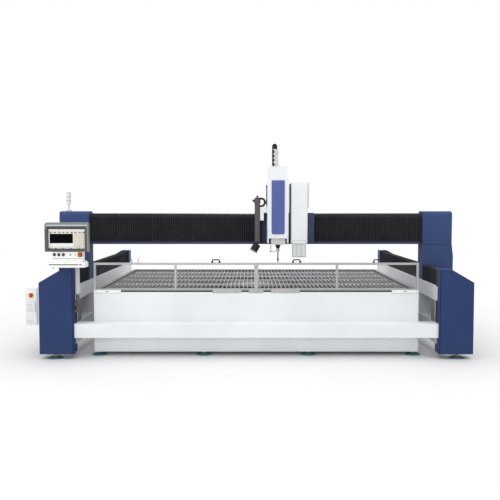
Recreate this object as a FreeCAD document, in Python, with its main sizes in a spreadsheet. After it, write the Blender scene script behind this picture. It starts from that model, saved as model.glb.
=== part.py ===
"""A gantry waterjet cutting machine: tank with slat bed, side frames, travelling gantry and cutting head.

Machine coordinates: X runs across the tank from its centre plane, Y from the front
columns' faces to the back, and Z up from the floor. Each piece is then shifted so that
the origin stands at the middle of the machine's footprint.
"""
import FreeCAD, Part
import Sketcher
import math
import os
import re

SIZES = {
    # Machine frame
    "machine_length": 4550, "column_inner": 2430, "column_width": 460, "column_depth": 230,
    "column_bottom": 69, "column_top": 1200, "column_flat": 155, "column_shoulder": 1022,
    "column_edge": 14, "cheek": 6, "beam_width": 230, "upper_beam_top": 960,
    "upper_beam_height": 193,
    "lower_beam_bottom": 185, "lower_beam_height": 280, "post_width": 190, "side_bays": 4,
    "side_panel": 6, "cross_beam_setback": 30, "cross_beam_width": 215,
    "cross_beam_bottom": 283, "cross_beam_height": 190,
    # Feet
    "foot_radius": 105, "foot_dome": 30, "foot_rim": 8, "stem_radius": 20,
    "column_foot_inset": 190, "column_foot_setback": 110,
    # Tank
    "tank_gap": 221, "tank_front": 245, "tank_length": 3267, "tank_bottom": 57,
    "tank_floor": 10, "tank_wall": 8, "rim_bottom": 875, "rim_height": 30, "rim_width": 50,
    "ledge_top": 700, "ledge_width": 60, "ledge_thickness": 10,
    "tank_foot_side": 50, "tank_foot_end": 105, "tank_foot_columns": 4, "tank_foot_rows": 3,
    # Slat bed
    "slat_pitch": 60, "slat_thickness": 5, "slat_height": 140, "slat_top": 890,
    "bar_height": 75, "bar_thickness": 14, "bar_count": 5, "bed_gap": 5,
    "tie_height": 30, "tie_thickness": 8, "tie_drop": 8, "tie_count": 5,
    # Splash guard
    "guard_rail": 30, "guard_top": 1273, "guard_bar": 12,
    "guard_middle_post": 57, "pane_thickness": 6, "clip_drop": 45, "clip_thickness": 5,
    "outer_clip": 370, "inner_clip": 392, "inner_clip_start": 200, "middle_clip": 200,
    "handle_width": 105, "handle_height": 46, "handle_rod": 6,
    # Side rails and their bellows
    "rail_width": 40, "rail_height": 40, "rail_inset": 80, "slide_gap": 0.5,
    "bellows_inset": 5, "bellows_top": 1178, "bellows_flat": 104, "bellows_outset": 30,
    "bellows_shoulder": 1010, "bellows_skirt": 985, "bellows_wall": 36, "fold_depth": 18,
    "fold_pitch": 66, "soft_gap": 0.3,
    # Gantry
    "leg_inset": 30, "gantry_front": 1082, "gantry_depth": 274, "gantry_top": 1970,
    "leg_seam": 1483, "leg_flare": 22, "leg_flare_end": 1313, "leg_bottom": 975, "leg_corner": 12,
    "leg_brow": 59, "beam_front": 1190, "beam_depth": 155, "beam_bottom": 1484,
    "beam_top": 1880, "beam_lip": 37, "beam_lip_front": 1122, "beam_rail_height": 24,
    "beam_rail_depth": 24, "low_rail": 1585, "high_rail": 1835, "cover_chamfer": 54,
    "cover_top": 1938, "cover_overhang": 5,
    "lamp_inset": 354, "lamp_base_radius": 45, "lamp_base": 20, "lamp_stalk_radius": 14,
    "lamp_stalk": 85, "lamp_radius": 33, "lamp_segment": 52, "lamp_joint": 6,
    # Carriage
    "saddle_left": 101, "saddle_width": 750, "saddle_bottom": 1499, "saddle_top": 1946,
    "saddle_front": 1020, "saddle_shelf": 5, "saddle_edge": 10,
    "housing_left": 162, "housing_width": 304, "housing_front": 750, "housing_bottom": 1513,
    "housing_notch": 1582, "housing_flange": 22, "housing_shoulder": 2408,
    "housing_step": 20, "housing_top": 2606, "housing_corner": 18,
    "panel_left": 223, "panel_width": 186, "panel_bottom": 1642, "panel_thickness": 8,
    "panel_corner": 30,
    "unit_left": 505, "unit_width": 236, "unit_front": 800, "unit_bottom": 1510,
    "unit_top": 2382, "unit_corner": 20, "guide_bottom": 1307, "guide_radius": 33,
    "guide_pitch": 69, "guide_setback": 62,
    "lamp_x": 20, "lamp_y": 840, "tube_radius": 38, "tube_bottom": 1530, "tube_top": 2165,
    "tube_knob_radius": 14, "tube_knob": 30, "ring_bottom": 2080, "ring_height": 60,
    "ring_wall": 8, "bracket_bottom": 1836, "bracket_height": 197, "bracket_depth": 60,
    "bracket_arm": 80, "bracket_width": 94,
    "spot_radius": 53, "spot_length": 115, "spot_rim": 6, "spot_tilt": 30,
    "chain_x": 276, "chain_y": 890, "chain_pitch": 60, "chain_links": 4, "chain_width": 56,
    "chain_thickness": 30, "chain_plate": 6, "chain_foot": 12,
    # Cutting head
    "head_x": 319, "head_y": 890, "ram_width": 150, "ram_depth": 150, "ram_length": 560,
    "ram_corner": 8, "block_width": 218, "block_depth": 180, "block_bottom": 1490,
    "block_top": 1577, "block_corner": 10, "nut_bottom": 1433, "nut_radius": 41,
    "nut_tip_radius": 22, "nozzle_tip": 1224, "nozzle_radius": 8.5, "ball_height": 1275,
    "ball_radius": 17, "tip_radius": 4,
    # Console
    "hood_inset": 244.5, "hood_width": 565, "hood_bottom": 1446, "hood_top": 1826,
    "hood_front": -150, "hood_depth": 90, "hood_corner": 34, "hood_wall": 26,
    "hood_recess": 34, "screen_margin": 18, "screen_rise": 6, "screen_drop": 36,
    "screen_thickness": 10, "screen_window_left": 28, "screen_window_width": 290,
    "screen_window_bottom": 78, "screen_window_height": 123,
    "screen_window_depth": 4,
    "buttons_inset": 169.5, "buttons_width": 395, "buttons_front": -140,
    "buttons_depth": 120,
    "shelf_inset": 240.5, "shelf_width": 497, "shelf_bottom": 1255, "shelf_height": 59,
    "shelf_front": -330, "shelf_depth": 432, "tray_depth": 196, "shelf_corner": 36,
    "slot_height": 12, "slot_rise": 30, "slot_depth": 12, "slot_margin": 36,
    "knob_radius": 15, "knob_length": 26, "knob_pitch": 59, "knob_first": 26,
    "knob_height": 1408, "stop_inset": 34, "stop_radius": 21, "stop_stem_radius": 12,
    "stop_collar": 30, "stop_collar_depth": 6, "stop_head": 16, "stop_gap": 6,
    "console_post_inset": 44, "console_post_y": 70, "console_post_radius": 32,
    "console_post_bottom": 860, "console_stem_radius": 23, "console_stem_bottom": 640,
    "clamp_width": 60, "clamp_height": 40, "clamp_drop": 15, "clamp_rise": 90,
    # Electrical cabinet
    "cabinet_width": 321, "cabinet_front": 450, "cabinet_depth": 600,
    "cabinet_bottom": 383, "cabinet_top": 910, "cabinet_corner": 12, "door_width": 150,
    "door_thickness": 18, "door_margin": 8, "door_gap": 0.3, "louvre_width": 96,
    "louvre_height": 7, "louvre_pitch": 18, "louvre_count": 6, "louvre_bottom": 604,
    "louvre_depth": 4, "bracket_thickness": 40, "bracket_inset": 60, "switch_inset": 83,
    "switch_height": 806, "switch_radius": 36, "switch_plate": 6, "switch_handle": 24,
    "switch_handle_width": 16,
}

# Places on the sheet that follow from the sizes
PLACES = {
    "tank_half": "column_inner - tank_gap",
    "lamp_post_x": "column_inner + lamp_inset",
    "console_post_x": "column_inner - console_post_inset",
    "shelf_right": "column_inner - shelf_inset",
    "buttons_right": "column_inner - buttons_inset",
    "stop_x": "buttons_right + stop_inset",
    "hood_right": "column_inner - hood_inset",
    "cabinet_outer": "column_inner + column_width + cabinet_width",
    "switch_x": "cabinet_outer - switch_inset",
}

# Longer rules that several pieces share
COLUMN_OUTER = "(column_inner + column_width)"
LEG_INNER = "(column_inner + leg_inset)"
LEG_WIDTH = "(column_width - leg_inset)"
LEG_OUTER = f"({COLUMN_OUTER} + leg_flare)"
ORIGIN_X = f"(({LEG_OUTER} - cabinet_outer) / 2)"
ORIGIN_Y = "((machine_length + shelf_front) / 2)"
BEAM_OUTER = "(column_inner + beam_width)"
BEAM_LENGTH = "(machine_length - 2 * column_depth)"
BAY_PITCH = f"(({BEAM_LENGTH} - post_width) / side_bays)"
UPPER_BEAM_BOTTOM = "(upper_beam_top - upper_beam_height)"
LOWER_BEAM_TOP = "(lower_beam_bottom + lower_beam_height)"
TANK_BACK = "(tank_front + tank_length)"
WALL_BOTTOM = "(tank_bottom + tank_floor)"
RIM_TOP = "(rim_bottom + rim_height)"
RAIL_X = f"({LEG_INNER} + rail_inset)"
GANTRY_BACK = "(gantry_front + gantry_depth)"
BEAM_BACK = "(beam_front + beam_depth)"
RAIL_FACE = "(beam_front - beam_rail_depth)"
SADDLE_RIGHT = "(saddle_left + saddle_width)"
HOUSING_RIGHT = "(housing_left + housing_width)"
RAM_LEFT = "(head_x - ram_width / 2)"
RAM_FRONT = "(head_y - ram_depth / 2)"
BUTTONS_LEFT = "(buttons_right + buttons_width)"

doc = FreeCAD.newDocument("waterjet_cutting_machine")
sheet = doc.addObject("Spreadsheet::Sheet", "sizes")
for row, (alias, entry) in enumerate((SIZES | PLACES).items(), start=1):
    sheet.set(f"A{row}", alias.replace("_", " "))
    sheet.set(f"B{row}", f"={entry}")
    sheet.setAlias(f"B{row}", alias)
doc.recompute()

nodes = []


def on_sheet(rule):
    """A rule in the sizes' names, as an expression on the sheet."""
    return re.sub(r"[a-z][a-z_]+",
                  lambda word: f"sizes.{word[0]}" if word[0] in SIZES | PLACES else word[0], rule)


def value(rule):
    """What a rule comes to with the sheet's present sizes."""
    return float(sheet.evalExpression(on_sheet(rule)))


def bind(item, prop, rule):
    item.setExpression(prop, on_sheet(rule))


def locate(item, x="0", y="0", z="0"):
    """Tie an object's place to the sizes, in machine coordinates."""
    for axis, rule in zip("xyz", (x, y, z)):
        bind(item, f"Placement.Base.{axis}", rule)
    return item


def node(item, label, x="0", y="0", z="0"):
    """Make an object a sub-part of the machine: its name, and its place from the origin."""
    item.Label = label
    nodes.append(item)
    return locate(item, f"{x} - {ORIGIN_X}", f"{y} - {ORIGIN_Y}", z)


def block(name, low, high):
    """A block between two corners, each of three rules."""
    item = doc.addObject("Part::Box", name)
    for prop, start, end in zip(("Length", "Width", "Height"), low, high):
        bind(item, prop, f"({end}) - ({start})")
    return locate(item, *low)


def plate(label, low, high):
    """A block that is a sub-part by itself."""
    return node(block(label, low, high), label, *low)


def round_bar(name, centre, axis, radius, length):
    """A cylinder that starts at a centre and runs along an axis."""
    item = doc.addObject("Part::Cylinder", name)
    item.Placement.Rotation = FreeCAD.Rotation(FreeCAD.Vector(0, 0, 1), FreeCAD.Vector(*axis))
    bind(item, "Radius", radius)
    bind(item, "Height", length)
    return locate(item, *centre)


def fused(name, pieces):
    item = doc.addObject("Part::MultiFuse", name)
    item.Shapes = pieces
    item.Refine = True
    return item


def grouped(name, pieces):
    item = doc.addObject("Part::Compound", name)
    item.Links = pieces
    return item


def mirrored(name, source, axis, at="0"):
    """A copy on the other side of a plane across X or Y."""
    item = doc.addObject("Part::Mirroring", name)
    item.Source = source
    item.Normal = FreeCAD.Vector(*(1.0 if letter == axis else 0.0 for letter in "xyz"))
    bind(item, f"Base.{axis}", at)
    return item


def new_body(name):
    return doc.addObject("PartDesign::Body", name)


def new_sketch(body, name, role, lift=None):
    """A sketch on one of the body's own planes, moved along its normal if a lift is given."""
    sketch = body.newObject("Sketcher::SketchObject", name)
    plane = next(item for item in body.Origin.OriginFeatures if item.Role == role)
    sketch.AttachmentSupport = [(plane, "")]
    sketch.MapMode = "FlatFace"
    if lift is not None:
        bind(sketch, "AttachmentOffset.Base.z", lift)
    return sketch


def tie_point(sketch, index, place, across, up):
    """Tie a point of a sketch to its two rules."""
    for kind, rule, axis in (("DistanceX", across, -2), ("DistanceY", up, -1)):
        if rule == "0":
            sketch.addConstraint(Sketcher.Constraint("PointOnObject", index, place, axis))
        else:
            spot = sketch.addConstraint(
                Sketcher.Constraint(kind, -1, 1, index, place, value(rule)))
            sketch.setExpression(f"Constraints[{spot}]", on_sheet(rule))


def draw_outline(sketch, corners):
    """A closed outline of straight lines whose corners follow the sizes."""
    points = [FreeCAD.Vector(value(across), value(up), 0) for across, up in corners]
    first = sketch.GeometryCount
    count = len(points)
    for start, end in zip(points, points[1:] + points[:1]):
        sketch.addGeometry(Part.LineSegment(start, end), False)
    for step in range(count):
        follower = first + (step + 1) % count
        sketch.addConstraint(Sketcher.Constraint("Coincident", first + step, 2, follower, 1))
    for step, (across, up) in enumerate(corners):
        tie_point(sketch, first + step, 1, across, up)
    return sketch


def rectangle(left, bottom, right, top):
    return [(left, bottom), (right, bottom), (right, top), (left, top)]


def pad(body, sketch, length, backwards=False):
    feature = body.newObject("PartDesign::Pad", f"{sketch.Name}_pad")
    feature.Profile = sketch
    bind(feature, "Length", length)
    feature.Reversed = backwards
    return feature


def pocket(body, sketch, length, backwards=False):
    """Cut a sketch into the body, and make sure that it took material away."""
    doc.recompute()
    before = body.Tip.Shape.Volume
    feature = body.newObject("PartDesign::Pocket", f"{sketch.Name}_pocket")
    feature.Profile = sketch
    bind(feature, "Length", length)
    feature.Reversed = backwards
    doc.recompute()
    if feature.Shape.Volume >= before:
        raise ValueError(f"{feature.Name} cuts nothing")
    return feature


def repeat(body, feature, axis_role, pitch, count):
    """Repeat a feature along one of the body's axes."""
    pattern = body.newObject("PartDesign::LinearPattern", f"{feature.Name}_row")
    pattern.Originals = [feature]
    axis = next(item for item in body.Origin.OriginFeatures if item.Role == axis_role)
    pattern.Direction = (axis, [""])
    pattern.Mode = "Spacing"
    bind(pattern, "Offset", pitch)
    bind(pattern, "Occurrences", count)
    body.Tip = pattern
    return pattern


def edges_along(feature, axis, test):
    """Names of the edges that run along an axis and whose two ends both pass a test."""
    names = []
    for number, edge in enumerate(feature.Shape.Edges, start=1):
        ends = [vertex.Point for vertex in edge.Vertexes]
        if len(ends) == 2 and abs(getattr(ends[1] - ends[0], axis)) > edge.Length - 0.01:
            if all(test(point) for point in ends):
                names.append(f"Edge{number}")
    return names


def soften(body, kind, radius, axis, test):
    """Round or chamfer the edges along an axis of the body's last feature that pass a test."""
    doc.recompute()
    base = body.Tip
    feature = body.newObject(f"PartDesign::{kind}", f"{base.Name}_{kind.lower()}")
    feature.Base = (base, edges_along(base, axis, test))
    bind(feature, "Radius" if kind == "Fillet" else "Size", radius)
    return feature


def near(number, rule):
    return abs(number - value(rule)) < 0.01


# Columns: blue end covers whose tops slope down to the outside
column = new_body("column_body")
pad(column, draw_outline(new_sketch(column, "column_outline", "XZ_Plane"), [
    ("cheek", "0"), ("column_width", "0"), ("column_width", "column_shoulder - column_bottom"),
    ("column_flat", "column_top - column_bottom"), ("cheek", "column_top - column_bottom")]),
    "column_depth", backwards=True)
soften(column, "Chamfer", "column_edge", "z", lambda point: near(point.y, "0"))
locate(column, "column_inner", "0", "column_bottom")
front_columns = node(grouped("front_column_pair", [column, mirrored("left_column", column, "x")]),
                     "front_columns")
node_rear = mirrored("rear_column_pair", front_columns, "y", f"machine_length / 2 - {ORIGIN_Y}")
node_rear.Label = "rear_columns"
nodes.append(node_rear)

# Side frames: beams and posts in one welded frame, open between the posts, whose inner
# skin runs on past both columns
right_frame = new_body("right_side_frame_body")
MIDDLE = "(machine_length / 2)"
frame_end = "(machine_length - column_depth)"
pad(right_frame, draw_outline(new_sketch(right_frame, "side_frame_outline", "YZ_Plane"), [
    ("column_depth", "lower_beam_bottom"), (f"{MIDDLE} - post_width / 2", "lower_beam_bottom"),
    (f"{MIDDLE} - post_width / 2", "column_bottom"),
    (f"{MIDDLE} + post_width / 2", "column_bottom"),
    (f"{MIDDLE} + post_width / 2", "lower_beam_bottom"), (frame_end, "lower_beam_bottom"),
    (frame_end, "upper_beam_top"), ("column_depth", "upper_beam_top")]), "beam_width")
window = draw_outline(new_sketch(right_frame, "side_window", "YZ_Plane"), rectangle(
    "column_depth + post_width", LOWER_BEAM_TOP,
    f"column_depth + {BAY_PITCH}", UPPER_BEAM_BOTTOM))
repeat(right_frame, pocket(right_frame, window, "beam_width", backwards=True),
       "Y_Axis", BAY_PITCH, "side_bays")
for name, low, high in (("lower", "lower_beam_bottom", LOWER_BEAM_TOP),
                        ("upper", UPPER_BEAM_BOTTOM, "upper_beam_top")):
    pad(right_frame, draw_outline(new_sketch(right_frame, f"{name}_skin", "YZ_Plane"),
                                  rectangle("0", low, "machine_length", high)), "cheek")
node(right_frame, "right_side_frame", x="column_inner")


def left_twin(source, label):
    """The same piece on the machine's left side."""
    twin = mirrored(f"{label}_twin", source, "x", f"0 - {ORIGIN_X}")
    twin.Label = label
    nodes.append(twin)
    return twin


left_twin(right_frame, "left_side_frame")

right_panel = block("right_side_panel", (BEAM_OUTER, "column_depth", "lower_beam_bottom"),
                    (f"{BEAM_OUTER} + side_panel", frame_end, "upper_beam_top"))
node(grouped("side_panel_pair", [right_panel, mirrored("left_side_panel", right_panel, "x")]),
     "side_panels")

# Cross beams between the columns, at the front and at the back
front_beam = block("front_beam", ("-column_inner", "cross_beam_setback", "cross_beam_bottom"),
                   ("column_inner", "cross_beam_setback + cross_beam_width",
                    "cross_beam_bottom + cross_beam_height"))
rear_beam = mirrored("rear_beam", front_beam, "y", MIDDLE)
node(grouped("cross_beam_pair", [front_beam, rear_beam]), "cross_beams")


def foot(name, x, y, top):
    """A levelling foot: a low dome with a threaded stem up to what it carries."""
    rim = round_bar(f"{name}_rim", (x, y, "0"), (0, 0, 1), "foot_radius", "foot_rim")
    dome = doc.addObject("Part::Cone", f"{name}_dome")
    bind(dome, "Radius1", "foot_radius")
    bind(dome, "Radius2", "2 * stem_radius")
    bind(dome, "Height", "foot_dome - foot_rim")
    locate(dome, x, y, "foot_rim")
    stem = round_bar(f"{name}_stem", (x, y, "0"), (0, 0, 1), "stem_radius", top)
    return fused(name, [rim, dome, stem])


column_foot_x = f"({COLUMN_OUTER} - column_foot_inset)"
machine_feet = []
for side, sign in (("right", ""), ("left", "-")):
    machine_feet += [
        foot(f"{side}_front_foot", f"{sign}{column_foot_x}", "column_foot_setback",
             "column_bottom"),
        foot(f"{side}_middle_foot", f"{sign}(column_inner + beam_width / 2)", MIDDLE,
             "column_bottom"),
        foot(f"{side}_rear_foot", f"{sign}{column_foot_x}",
             "(machine_length - column_foot_setback)", "column_bottom")]
node(grouped("machine_foot_set", machine_feet), "machine_feet")

# Tank: a floor, four walls and a folded rim, with a ledge on each side wall for the bed
plate("tank_floor", ("-tank_half", "tank_front", "tank_bottom"),
      ("tank_half", TANK_BACK, WALL_BOTTOM))
for end, low, high in (("front", "tank_front", "tank_front + tank_wall"),
                       ("back", f"{TANK_BACK} - tank_wall", TANK_BACK)):
    plate(f"tank_{end}_wall", ("-tank_half", low, WALL_BOTTOM), ("tank_half", high, "rim_bottom"))

right_wall = new_body("right_wall_body")
ledge_bottom = f"ledge_top - ledge_thickness - {WALL_BOTTOM}"
pad(right_wall, draw_outline(new_sketch(right_wall, "side_wall_outline", "XZ_Plane"), [
    ("0", "0"), ("0", f"rim_bottom - {WALL_BOTTOM}"), ("-tank_wall", f"rim_bottom - {WALL_BOTTOM}"),
    ("-tank_wall", f"ledge_top - {WALL_BOTTOM}"), ("-ledge_width", f"ledge_top - {WALL_BOTTOM}"),
    ("-ledge_width", ledge_bottom), ("-tank_wall", ledge_bottom), ("-tank_wall", "0")]),
    "tank_length - 2 * tank_wall", backwards=True)
node(right_wall, "tank_right_wall", "tank_half", "tank_front + tank_wall", WALL_BOTTOM)
left_twin(right_wall, "tank_left_wall")

rim = new_body("rim_body")
pad(rim, draw_outline(new_sketch(rim, "rim_outline", "XY_Plane"), rectangle(
    "-tank_half", "0", "tank_half", "tank_length")), "rim_height")
pocket(rim, draw_outline(new_sketch(rim, "rim_opening", "XY_Plane"), rectangle(
    "-tank_half + rim_width", "rim_width", "tank_half - rim_width", "tank_length - rim_width")),
    "rim_height", backwards=True)
node(rim, "tank_rim", y="tank_front", z="rim_bottom")

tank_feet = []
column_count = int(value("tank_foot_columns"))
row_count = int(value("tank_foot_rows"))
for row in range(row_count):
    for step in range(column_count):
        x = f"(tank_half - tank_foot_side) * {2 * step - column_count + 1} / {column_count - 1}"
        y = f"tank_front + tank_foot_end + {row} * (tank_length - 2 * tank_foot_end) / {row_count - 1}"
        tank_feet.append(foot(f"tank_foot_{row}_{step}", x, y, "tank_bottom"))
node(grouped("tank_foot_set", tank_feet), "tank_feet")

# Slat bed: thin slats on edge, let into the cross bars that carry them, tied near the top
BED_HALF = "(tank_half - rim_width - bed_gap)"
SLATS = f"(floor(2 * {BED_HALF} / slat_pitch / 2) * 2 + 1)"
BAR_PITCH = "((tank_length - 2 * rim_width - 2 * bed_gap - 2 * bar_thickness) / (bar_count - 1))"
TIE_PITCH = "((tank_length - 2 * rim_width - 2 * bed_gap) / tie_count)"
bed = new_body("bed_body")
first_bar = pad(bed, draw_outline(new_sketch(bed, "bar_outline", "XZ_Plane"), rectangle(
    "-(tank_half - tank_wall)", "0", "tank_half - tank_wall", "bar_height")),
    "bar_thickness", backwards=True)
slat_left = f"-({SLATS} - 1) / 2 * slat_pitch - slat_thickness / 2"
first_slat = pad(bed, draw_outline(new_sketch(bed, "slat_outline", "XZ_Plane", "bar_thickness / 2"),
                                   rectangle(
    slat_left, "slat_top - slat_height - ledge_top",
    f"{slat_left} + slat_thickness", "slat_top - ledge_top")),
    "tank_length - 2 * rim_width - 2 * bed_gap", backwards=True)
repeat(bed, first_slat, "X_Axis", "slat_pitch", SLATS)
repeat(bed, first_bar, "Y_Axis", BAR_PITCH, "bar_count")
ties = []
for step in range(int(value("tie_count"))):
    tie_front = f"({step} + 0.5) * {TIE_PITCH}"
    ties.append(block(f"bed_tie_{step + 1}",
                      (slat_left, tie_front, "slat_top - tie_drop - tie_height - ledge_top"),
                      (f"({SLATS} - 1) / 2 * slat_pitch + slat_thickness / 2",
                       f"{tie_front} + tie_thickness", "slat_top - tie_drop - ledge_top")))
tied_bed = fused("bed_with_ties", [bed] + ties)
tied_bed.Refine = False
node(tied_bed, "slat_bed", y="tank_front + rim_width + bed_gap + bar_thickness / 2", z="ledge_top")

# Splash guard on the tank's front rim: frame with clip plates, clear panes and bow handles
GUARD_BACK = "(tank_front + guard_rail)"
GUARD_PITCH = "((tank_half - guard_rail / 2) / 2)"
BAR_TOP = f"({RIM_TOP} + guard_bar)"
RAIL_BOTTOM = "(guard_top - guard_rail)"
guard = [
    block("guard_bottom_bar", ("-tank_half", "tank_front", RIM_TOP),
          ("tank_half", GUARD_BACK, BAR_TOP)),
    block("guard_top_rail", ("-tank_half", "tank_front", RAIL_BOTTOM),
          ("tank_half", GUARD_BACK, "guard_top"))]


def post_half(step):
    return "guard_middle_post / 2" if step == 0 else "guard_rail / 2"


for step in range(-2, 3):
    centre = f"{step} * {GUARD_PITCH}"
    guard.append(block(f"guard_post_{step + 3}",
                       (f"{centre} - {post_half(step)}", "tank_front", BAR_TOP),
                       (f"{centre} + {post_half(step)}", GUARD_BACK, RAIL_BOTTOM)))
clips = [("middle", "-middle_clip / 2", "middle_clip / 2")]
for sign, side in (("", "right"), ("-", "left")):
    ends = [("outer", "tank_half - outer_clip", "tank_half"),
            ("inner", "inner_clip_start", "inner_clip_start + inner_clip")]
    for name, near_end, far_end in ends:
        low, high = (near_end, far_end) if side == "right" else (f"-({far_end})", f"-({near_end})")
        clips.append((f"{side}_{name}", low, high))
for name, low, high in clips:
    guard.append(block(f"{name}_clip", (low, "tank_front - clip_thickness", f"{RIM_TOP} - clip_drop"),
                       (high, "tank_front", BAR_TOP)))
node(fused("guard_frame", guard), "splash_guard_frame")

pane_front = "tank_front + (guard_rail - pane_thickness) / 2"
panes = []
handles = []
for step in range(-2, 2):
    left = f"{step} * {GUARD_PITCH} + {post_half(step)}"
    right = f"{step + 1} * {GUARD_PITCH} - {post_half(step + 1)}"
    panes.append(block(f"guard_pane_{step + 3}", (left, pane_front, BAR_TOP),
                       (right, f"{pane_front} + pane_thickness", RAIL_BOTTOM)))
    centre = f"{step + 0.5} * {GUARD_PITCH}"
    handle_y = "tank_front + guard_rail / 2"
    bow = []
    for name, shift in (("left", "-(handle_width / 2 - handle_rod)"),
                        ("right", "+ (handle_width / 2 - handle_rod)")):
        bow.append(round_bar(f"handle_{step + 3}_{name}_leg",
                             (f"{centre} {shift}", handle_y, "guard_top"), (0, 0, 1),
                             "handle_rod", "handle_height - handle_rod"))
        bow.append(round_bar(f"handle_{step + 3}_{name}_foot",
                             (f"{centre} {shift}", handle_y, "guard_top"), (0, 0, 1),
                             "2 * handle_rod", "handle_height / 3"))
        knee = doc.addObject("Part::Sphere", f"handle_{step + 3}_{name}_knee")
        bind(knee, "Radius", "handle_rod")
        bow.append(locate(knee, f"{centre} {shift}", handle_y,
                          "guard_top + handle_height - handle_rod"))
    bow.append(round_bar(f"handle_{step + 3}_grip",
                         (f"{centre} - (handle_width / 2 - handle_rod)", handle_y,
                          "guard_top + handle_height - handle_rod"), (1, 0, 0),
                         "handle_rod", "handle_width - 2 * handle_rod"))
    handles.append(fused(f"handle_{step + 3}", bow))
node(grouped("guard_pane_set", panes), "splash_guard_panes")
node(grouped("handle_set", handles), "guard_handles")

# Guide rails on the side frames' upper beams
right_rail = block("right_rail", (f"{RAIL_X}", "column_depth", "upper_beam_top"),
                   (f"{RAIL_X} + rail_width", frame_end, "upper_beam_top + rail_height"))
node(grouped("side_rail_pair", [right_rail, mirrored("left_rail", right_rail, "x")]), "side_rails")


def inset(points, distance):
    """An open run of points moved to its left by a distance, mitred at each bend."""
    normals = []
    for (x1, y1), (x2, y2) in zip(points, points[1:]):
        length = math.hypot(x2 - x1, y2 - y1)
        normals.append(((y1 - y2) / length, (x2 - x1) / length))
    moved = []
    for index, (x, y) in enumerate(points):
        before = normals[max(index - 1, 0)]
        after = normals[min(index, len(normals) - 1)]
        share = distance / (1 + before[0] * after[0] + before[1] * after[1])
        moved.append((x + share * (before[0] + after[0]), y + share * (before[1] + after[1])))
    return moved


def pleated_cover(name, run, start, end, place):
    """Bellows: a wall along a run of points, its outside folded in and out along its length."""
    outer = [(value(across), value(up)) for across, up in run]
    inner = inset(outer, value("bellows_wall"))[::-1]
    valley = inset(outer, value("fold_depth"))
    length = value(f"{end} - ({start})")
    folds = max(1, round(length / value("fold_pitch")))
    rings = []
    for step in range(2 * folds + 1):
        along = value(start) + length * step / (2 * folds)
        section = (valley if step % 2 else outer) + inner
        rings.append([place(across, up, along) for across, up in section])
    faces = [Part.Face(Part.makePolygon(ring + ring[:1])) for ring in (rings[0], rings[-1])]
    for ring, following in zip(rings, rings[1:]):
        for index in range(len(ring)):
            corner = (index + 1) % len(ring)
            faces.append(Part.Face(Part.makePolygon(
                [ring[index], ring[corner], following[corner], following[index], ring[index]])))
    shell = Part.makeShell(faces)
    shell.sewShape()
    solid = Part.makeSolid(shell).removeSplitter()
    if solid.Volume < 0:
        solid.reverse()
    item = doc.addObject("Part::Feature", name)
    item.Shape = solid
    return item


# Bellows over the side rails, before and behind the gantry's legs
skirt_x = f"({COLUMN_OUTER} - bellows_outset)"
cover_x = f"({LEG_INNER} + bellows_inset)"
rail_run = [(skirt_x, "bellows_skirt"), (skirt_x, "bellows_shoulder"),
            (f"{cover_x} + bellows_flat", "bellows_top"), (cover_x, "bellows_top"),
            (cover_x, "upper_beam_top + soft_gap")]
for end, start, stop in (("front", "column_depth + soft_gap", "gantry_front - soft_gap"),
                         ("rear", f"{GANTRY_BACK} + soft_gap", f"{frame_end} - soft_gap")):
    cover = pleated_cover(f"right_{end}_bellows", rail_run, start, stop,
                          lambda across, up, along: FreeCAD.Vector(across, along, up))
    pair = [cover, mirrored(f"left_{end}_bellows", cover, "x")]
    node(grouped(f"{end}_bellows_pair", pair), f"{end}_rail_bellows")

# Gantry legs: box on top, flared below, with a channel that slides on the side rail
right_leg = new_body("right_leg_body")
pad(right_leg, draw_outline(new_sketch(right_leg, "leg_outline", "XZ_Plane"), [
    ("0", "leg_bottom"), (f"{LEG_WIDTH} + leg_flare", "leg_bottom"),
    (f"{LEG_WIDTH} + leg_flare", "leg_flare_end"), (LEG_WIDTH, "leg_seam"),
    (LEG_WIDTH, "gantry_top - leg_corner"), (f"{LEG_WIDTH} - leg_corner", "gantry_top"),
    ("0", "gantry_top")]), "gantry_depth", backwards=True)
soften(right_leg, "Fillet", "leg_brow", "x", lambda point: near(point.z, "gantry_top"))
channel_left = "rail_inset - slide_gap"
pocket(right_leg, draw_outline(new_sketch(right_leg, "rail_channel", "XZ_Plane"), rectangle(
    channel_left, "leg_bottom", "rail_inset + rail_width + slide_gap",
    "upper_beam_top + rail_height + slide_gap")), "gantry_depth")
node(right_leg, "gantry_right_leg", x=LEG_INNER, y="gantry_front")
left_twin(right_leg, "gantry_left_leg")

# Gantry beam, with a lip under its bellows, and the two rails on its face
beam = new_body("beam_body")
LIP_TOP = "(beam_bottom + beam_lip)"
pad(beam, draw_outline(new_sketch(beam, "beam_outline", "YZ_Plane"), [
    ("beam_lip_front", "beam_bottom"), (BEAM_BACK, "beam_bottom"), (BEAM_BACK, "beam_top"),
    ("beam_front", "beam_top"), ("beam_front", LIP_TOP), ("beam_lip_front", LIP_TOP)]),
    f"2 * {LEG_INNER}")
node(beam, "gantry_beam", x=f"-{LEG_INNER}")
beam_rails = [block(f"{height}_beam_rail",
                    (f"-{LEG_INNER}", RAIL_FACE, f"{height}_rail - beam_rail_height / 2"),
                    (LEG_INNER, "beam_front", f"{height}_rail + beam_rail_height / 2"))
              for height in ("low", "high")]
node(grouped("beam_rail_pair", beam_rails), "beam_rails")

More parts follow.
